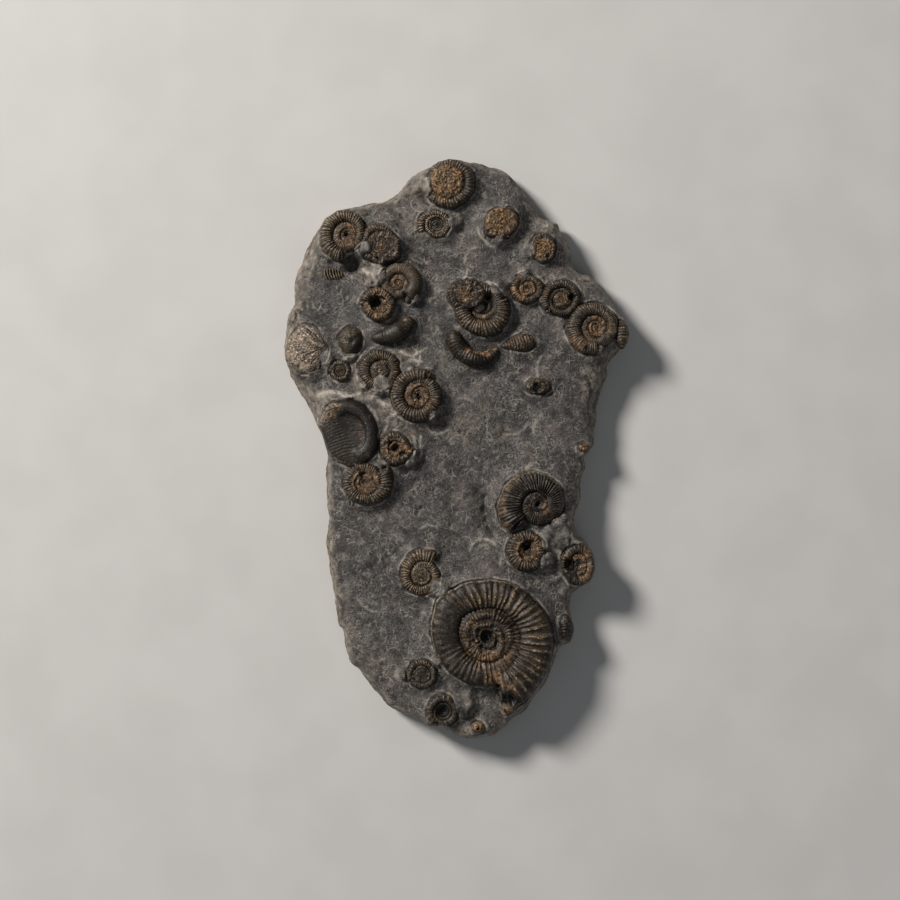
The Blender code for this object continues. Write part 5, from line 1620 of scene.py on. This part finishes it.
def shell_material(name, dark, pale, golden, lit, smoothest):
    """Shell and its filling: dark grooves, lighter ribs, and crumbs of golden calcite."""
    s = Shading(name)
    mottle = s.noise(2.4, 4.0, warp=0.6)
    grit = s.noise(0.9, 2.0, roughness=0.75)
    break_up = s.noise(1.4, 3.0, roughness=0.6, warp=0.5)
    colour = ribbed_shell(s, mottle, dark, pale, lit)
    plain = s.number("plain")
    darkest, palest = s.span(plain, 0, 1, 0.25, 0.72), s.span(plain, 0, 1, 1.9, 1.3)
    colour = s.shaded(colour, s.span(grit, 0.33, 0.67, darkest, palest))
    colour = s.shaded(colour, s.span(break_up, 0.38, 0.6, darkest, 1.35))
    fine = s.times(s.noise(0.95, 3.0, roughness=0.8), 0.55)
    crumbs = s.math("ADD", fine, s.times(s.noise(2.1, 3.0), 0.45))
    mottled = s.times(s.math("SUBTRACT", mottle, 0.5), 0.9)
    amount = s.span(s.math("ADD", s.number("gold"), mottled), 0.22, 0.62)
    colour = s.blend(s.times(amount, 0.9), colour, golden_crumbs(s, crumbs, golden))
    colour = s.blend(s.times(s.number("chip"), 0.45), colour, CHIPPED)
    # deep: mostly painted shade in seams, undersides, voids, gaps and grooves
    colour = s.blend(s.times(s.number("deep"), 0.88), colour, BLACK)
    glints = s.times(s.span(s.noise(1.0, 2.0), 0.66, 0.72), s.span(s.noise(5.0), 0.42, 0.56))
    colour = s.blend(s.times(glints, 0.8), colour, GLINT)
    rim = s.times(s.number("rim"), s.span(s.noise(2.0, 3.0), 0.42, 0.56))
    colour = s.blend(rim, colour, RIM_COLOUR)
    s.bump(s.math("ADD", grit, s.times(crumbs, 1.2)), 0.7, 0.22)
    return s.finish(colour, s.span(mottle, 0.3, 0.7, smoothest, smoothest + 0.26))


def floor_material():
    s = Shading("pale floor")
    return s.finish(s.blend(s.span(s.noise(60.0, 2.0), 0.3, 0.7), DIM_FLOOR, PALE_FLOOR), 0.9)


# Stage, light and camera

PHOTO_SIDE = 900                    # the photograph is this many pixels each way
PIXEL = 0.65                        # one of its pixels on the slab
MIDDLE_PIXEL = (456.75, 450.25)     # where the slab's origin is in it
LENS = 85.0
SENSOR = 36.0
SUBJECT_HEIGHT = 27.0               # height that the camera's distance is measured from
LAMPS = (                           # name, place in metres, size, power, colour
    ("key", (-1.75, 1.35, 1.75), 0.7, 82.0, (1.0, 0.962, 0.915)),
    ("fill", (0.9, -1.3, 1.9), 1.6, 3.0, (0.93, 0.96, 1.0)))
ROOM_COLOUR = (0.9, 0.95, 1.0, 1)
ROOM_STRENGTH = 0.11
FLOOR_SIZE = 3                      # half its side, in metres


def make_floor():
    mesh = bpy.data.meshes.new("floor")
    corners = [(x * FLOOR_SIZE, y * FLOOR_SIZE, 0) for x, y in ((-1, -1), (1, -1), (1, 1), (-1, 1))]
    mesh.from_pydata(corners, [], [(0, 1, 2, 3)])
    mesh.materials.append(floor_material())
    floor = bpy.data.objects.new("floor", mesh)
    bpy.context.collection.objects.link(floor)


def make_lamp(name, place, size, power, colour):
    lamp = bpy.data.lights.new(name, "AREA")
    lamp.shape = "DISK"
    lamp.size = size
    lamp.energy = power
    lamp.color = colour
    thing = bpy.data.objects.new(name, lamp)
    thing.location = place
    thing.rotation_euler = (Vector((0, 0, 0)) - Vector(place)).to_track_quat("-Z", "Y").to_euler()
    bpy.context.collection.objects.link(thing)


def make_light():
    for lamp in LAMPS:
        make_lamp(*lamp)
    world = bpy.data.worlds.new("soft room")
    world.use_nodes = True
    background = world.node_tree.nodes["Background"]
    background.inputs["Color"].default_value = ROOM_COLOUR
    background.inputs["Strength"].default_value = ROOM_STRENGTH
    bpy.context.scene.world = world
    bpy.context.scene.view_settings.view_transform = "Standard"


def make_camera():
    """Straight above the slab, with as much room round it as the photograph has."""
    lens = bpy.data.cameras.new("camera")
    lens.lens = LENS
    lens.sensor_width = SENSOR
    camera = bpy.data.objects.new("camera", lens)
    away = PHOTO_SIDE * PIXEL * LENS / SENSOR
    x = (PHOTO_SIDE / 2 - MIDDLE_PIXEL[0]) * PIXEL
    y = (MIDDLE_PIXEL[1] - PHOTO_SIDE / 2) * PIXEL
    camera.location = (x * MM, y * MM, (SUBJECT_HEIGHT + away) * MM)
    bpy.context.collection.objects.link(camera)
    bpy.context.scene.camera = camera


def main():
    make_camera()
    make_floor()
    make_light()
    make_stone(stone_material())
    skins = {slot: shell_material(slot.replace("_", " "), *row) for slot, row in SHELLS.items()}

    def finish_of(node):
        slot = "golden_shell" if node in GOLDEN else "worn_shell" if node in PALE else "dark_shell"
        return skins[slot], slot

    for coil in COILS:
        make_coil(coil, *finish_of(coil.node))
    for lump in LUMPS:
        make_lump(lump, *finish_of(lump.node))
    for arch in ARCHES:
        make_arch(arch, *finish_of(arch.node))
    make_comb(*finish_of(COMB[0]))
    make_worn(*finish_of(WORN[0]))
    make_imprint(*finish_of(IMPRINT[0]))


main()
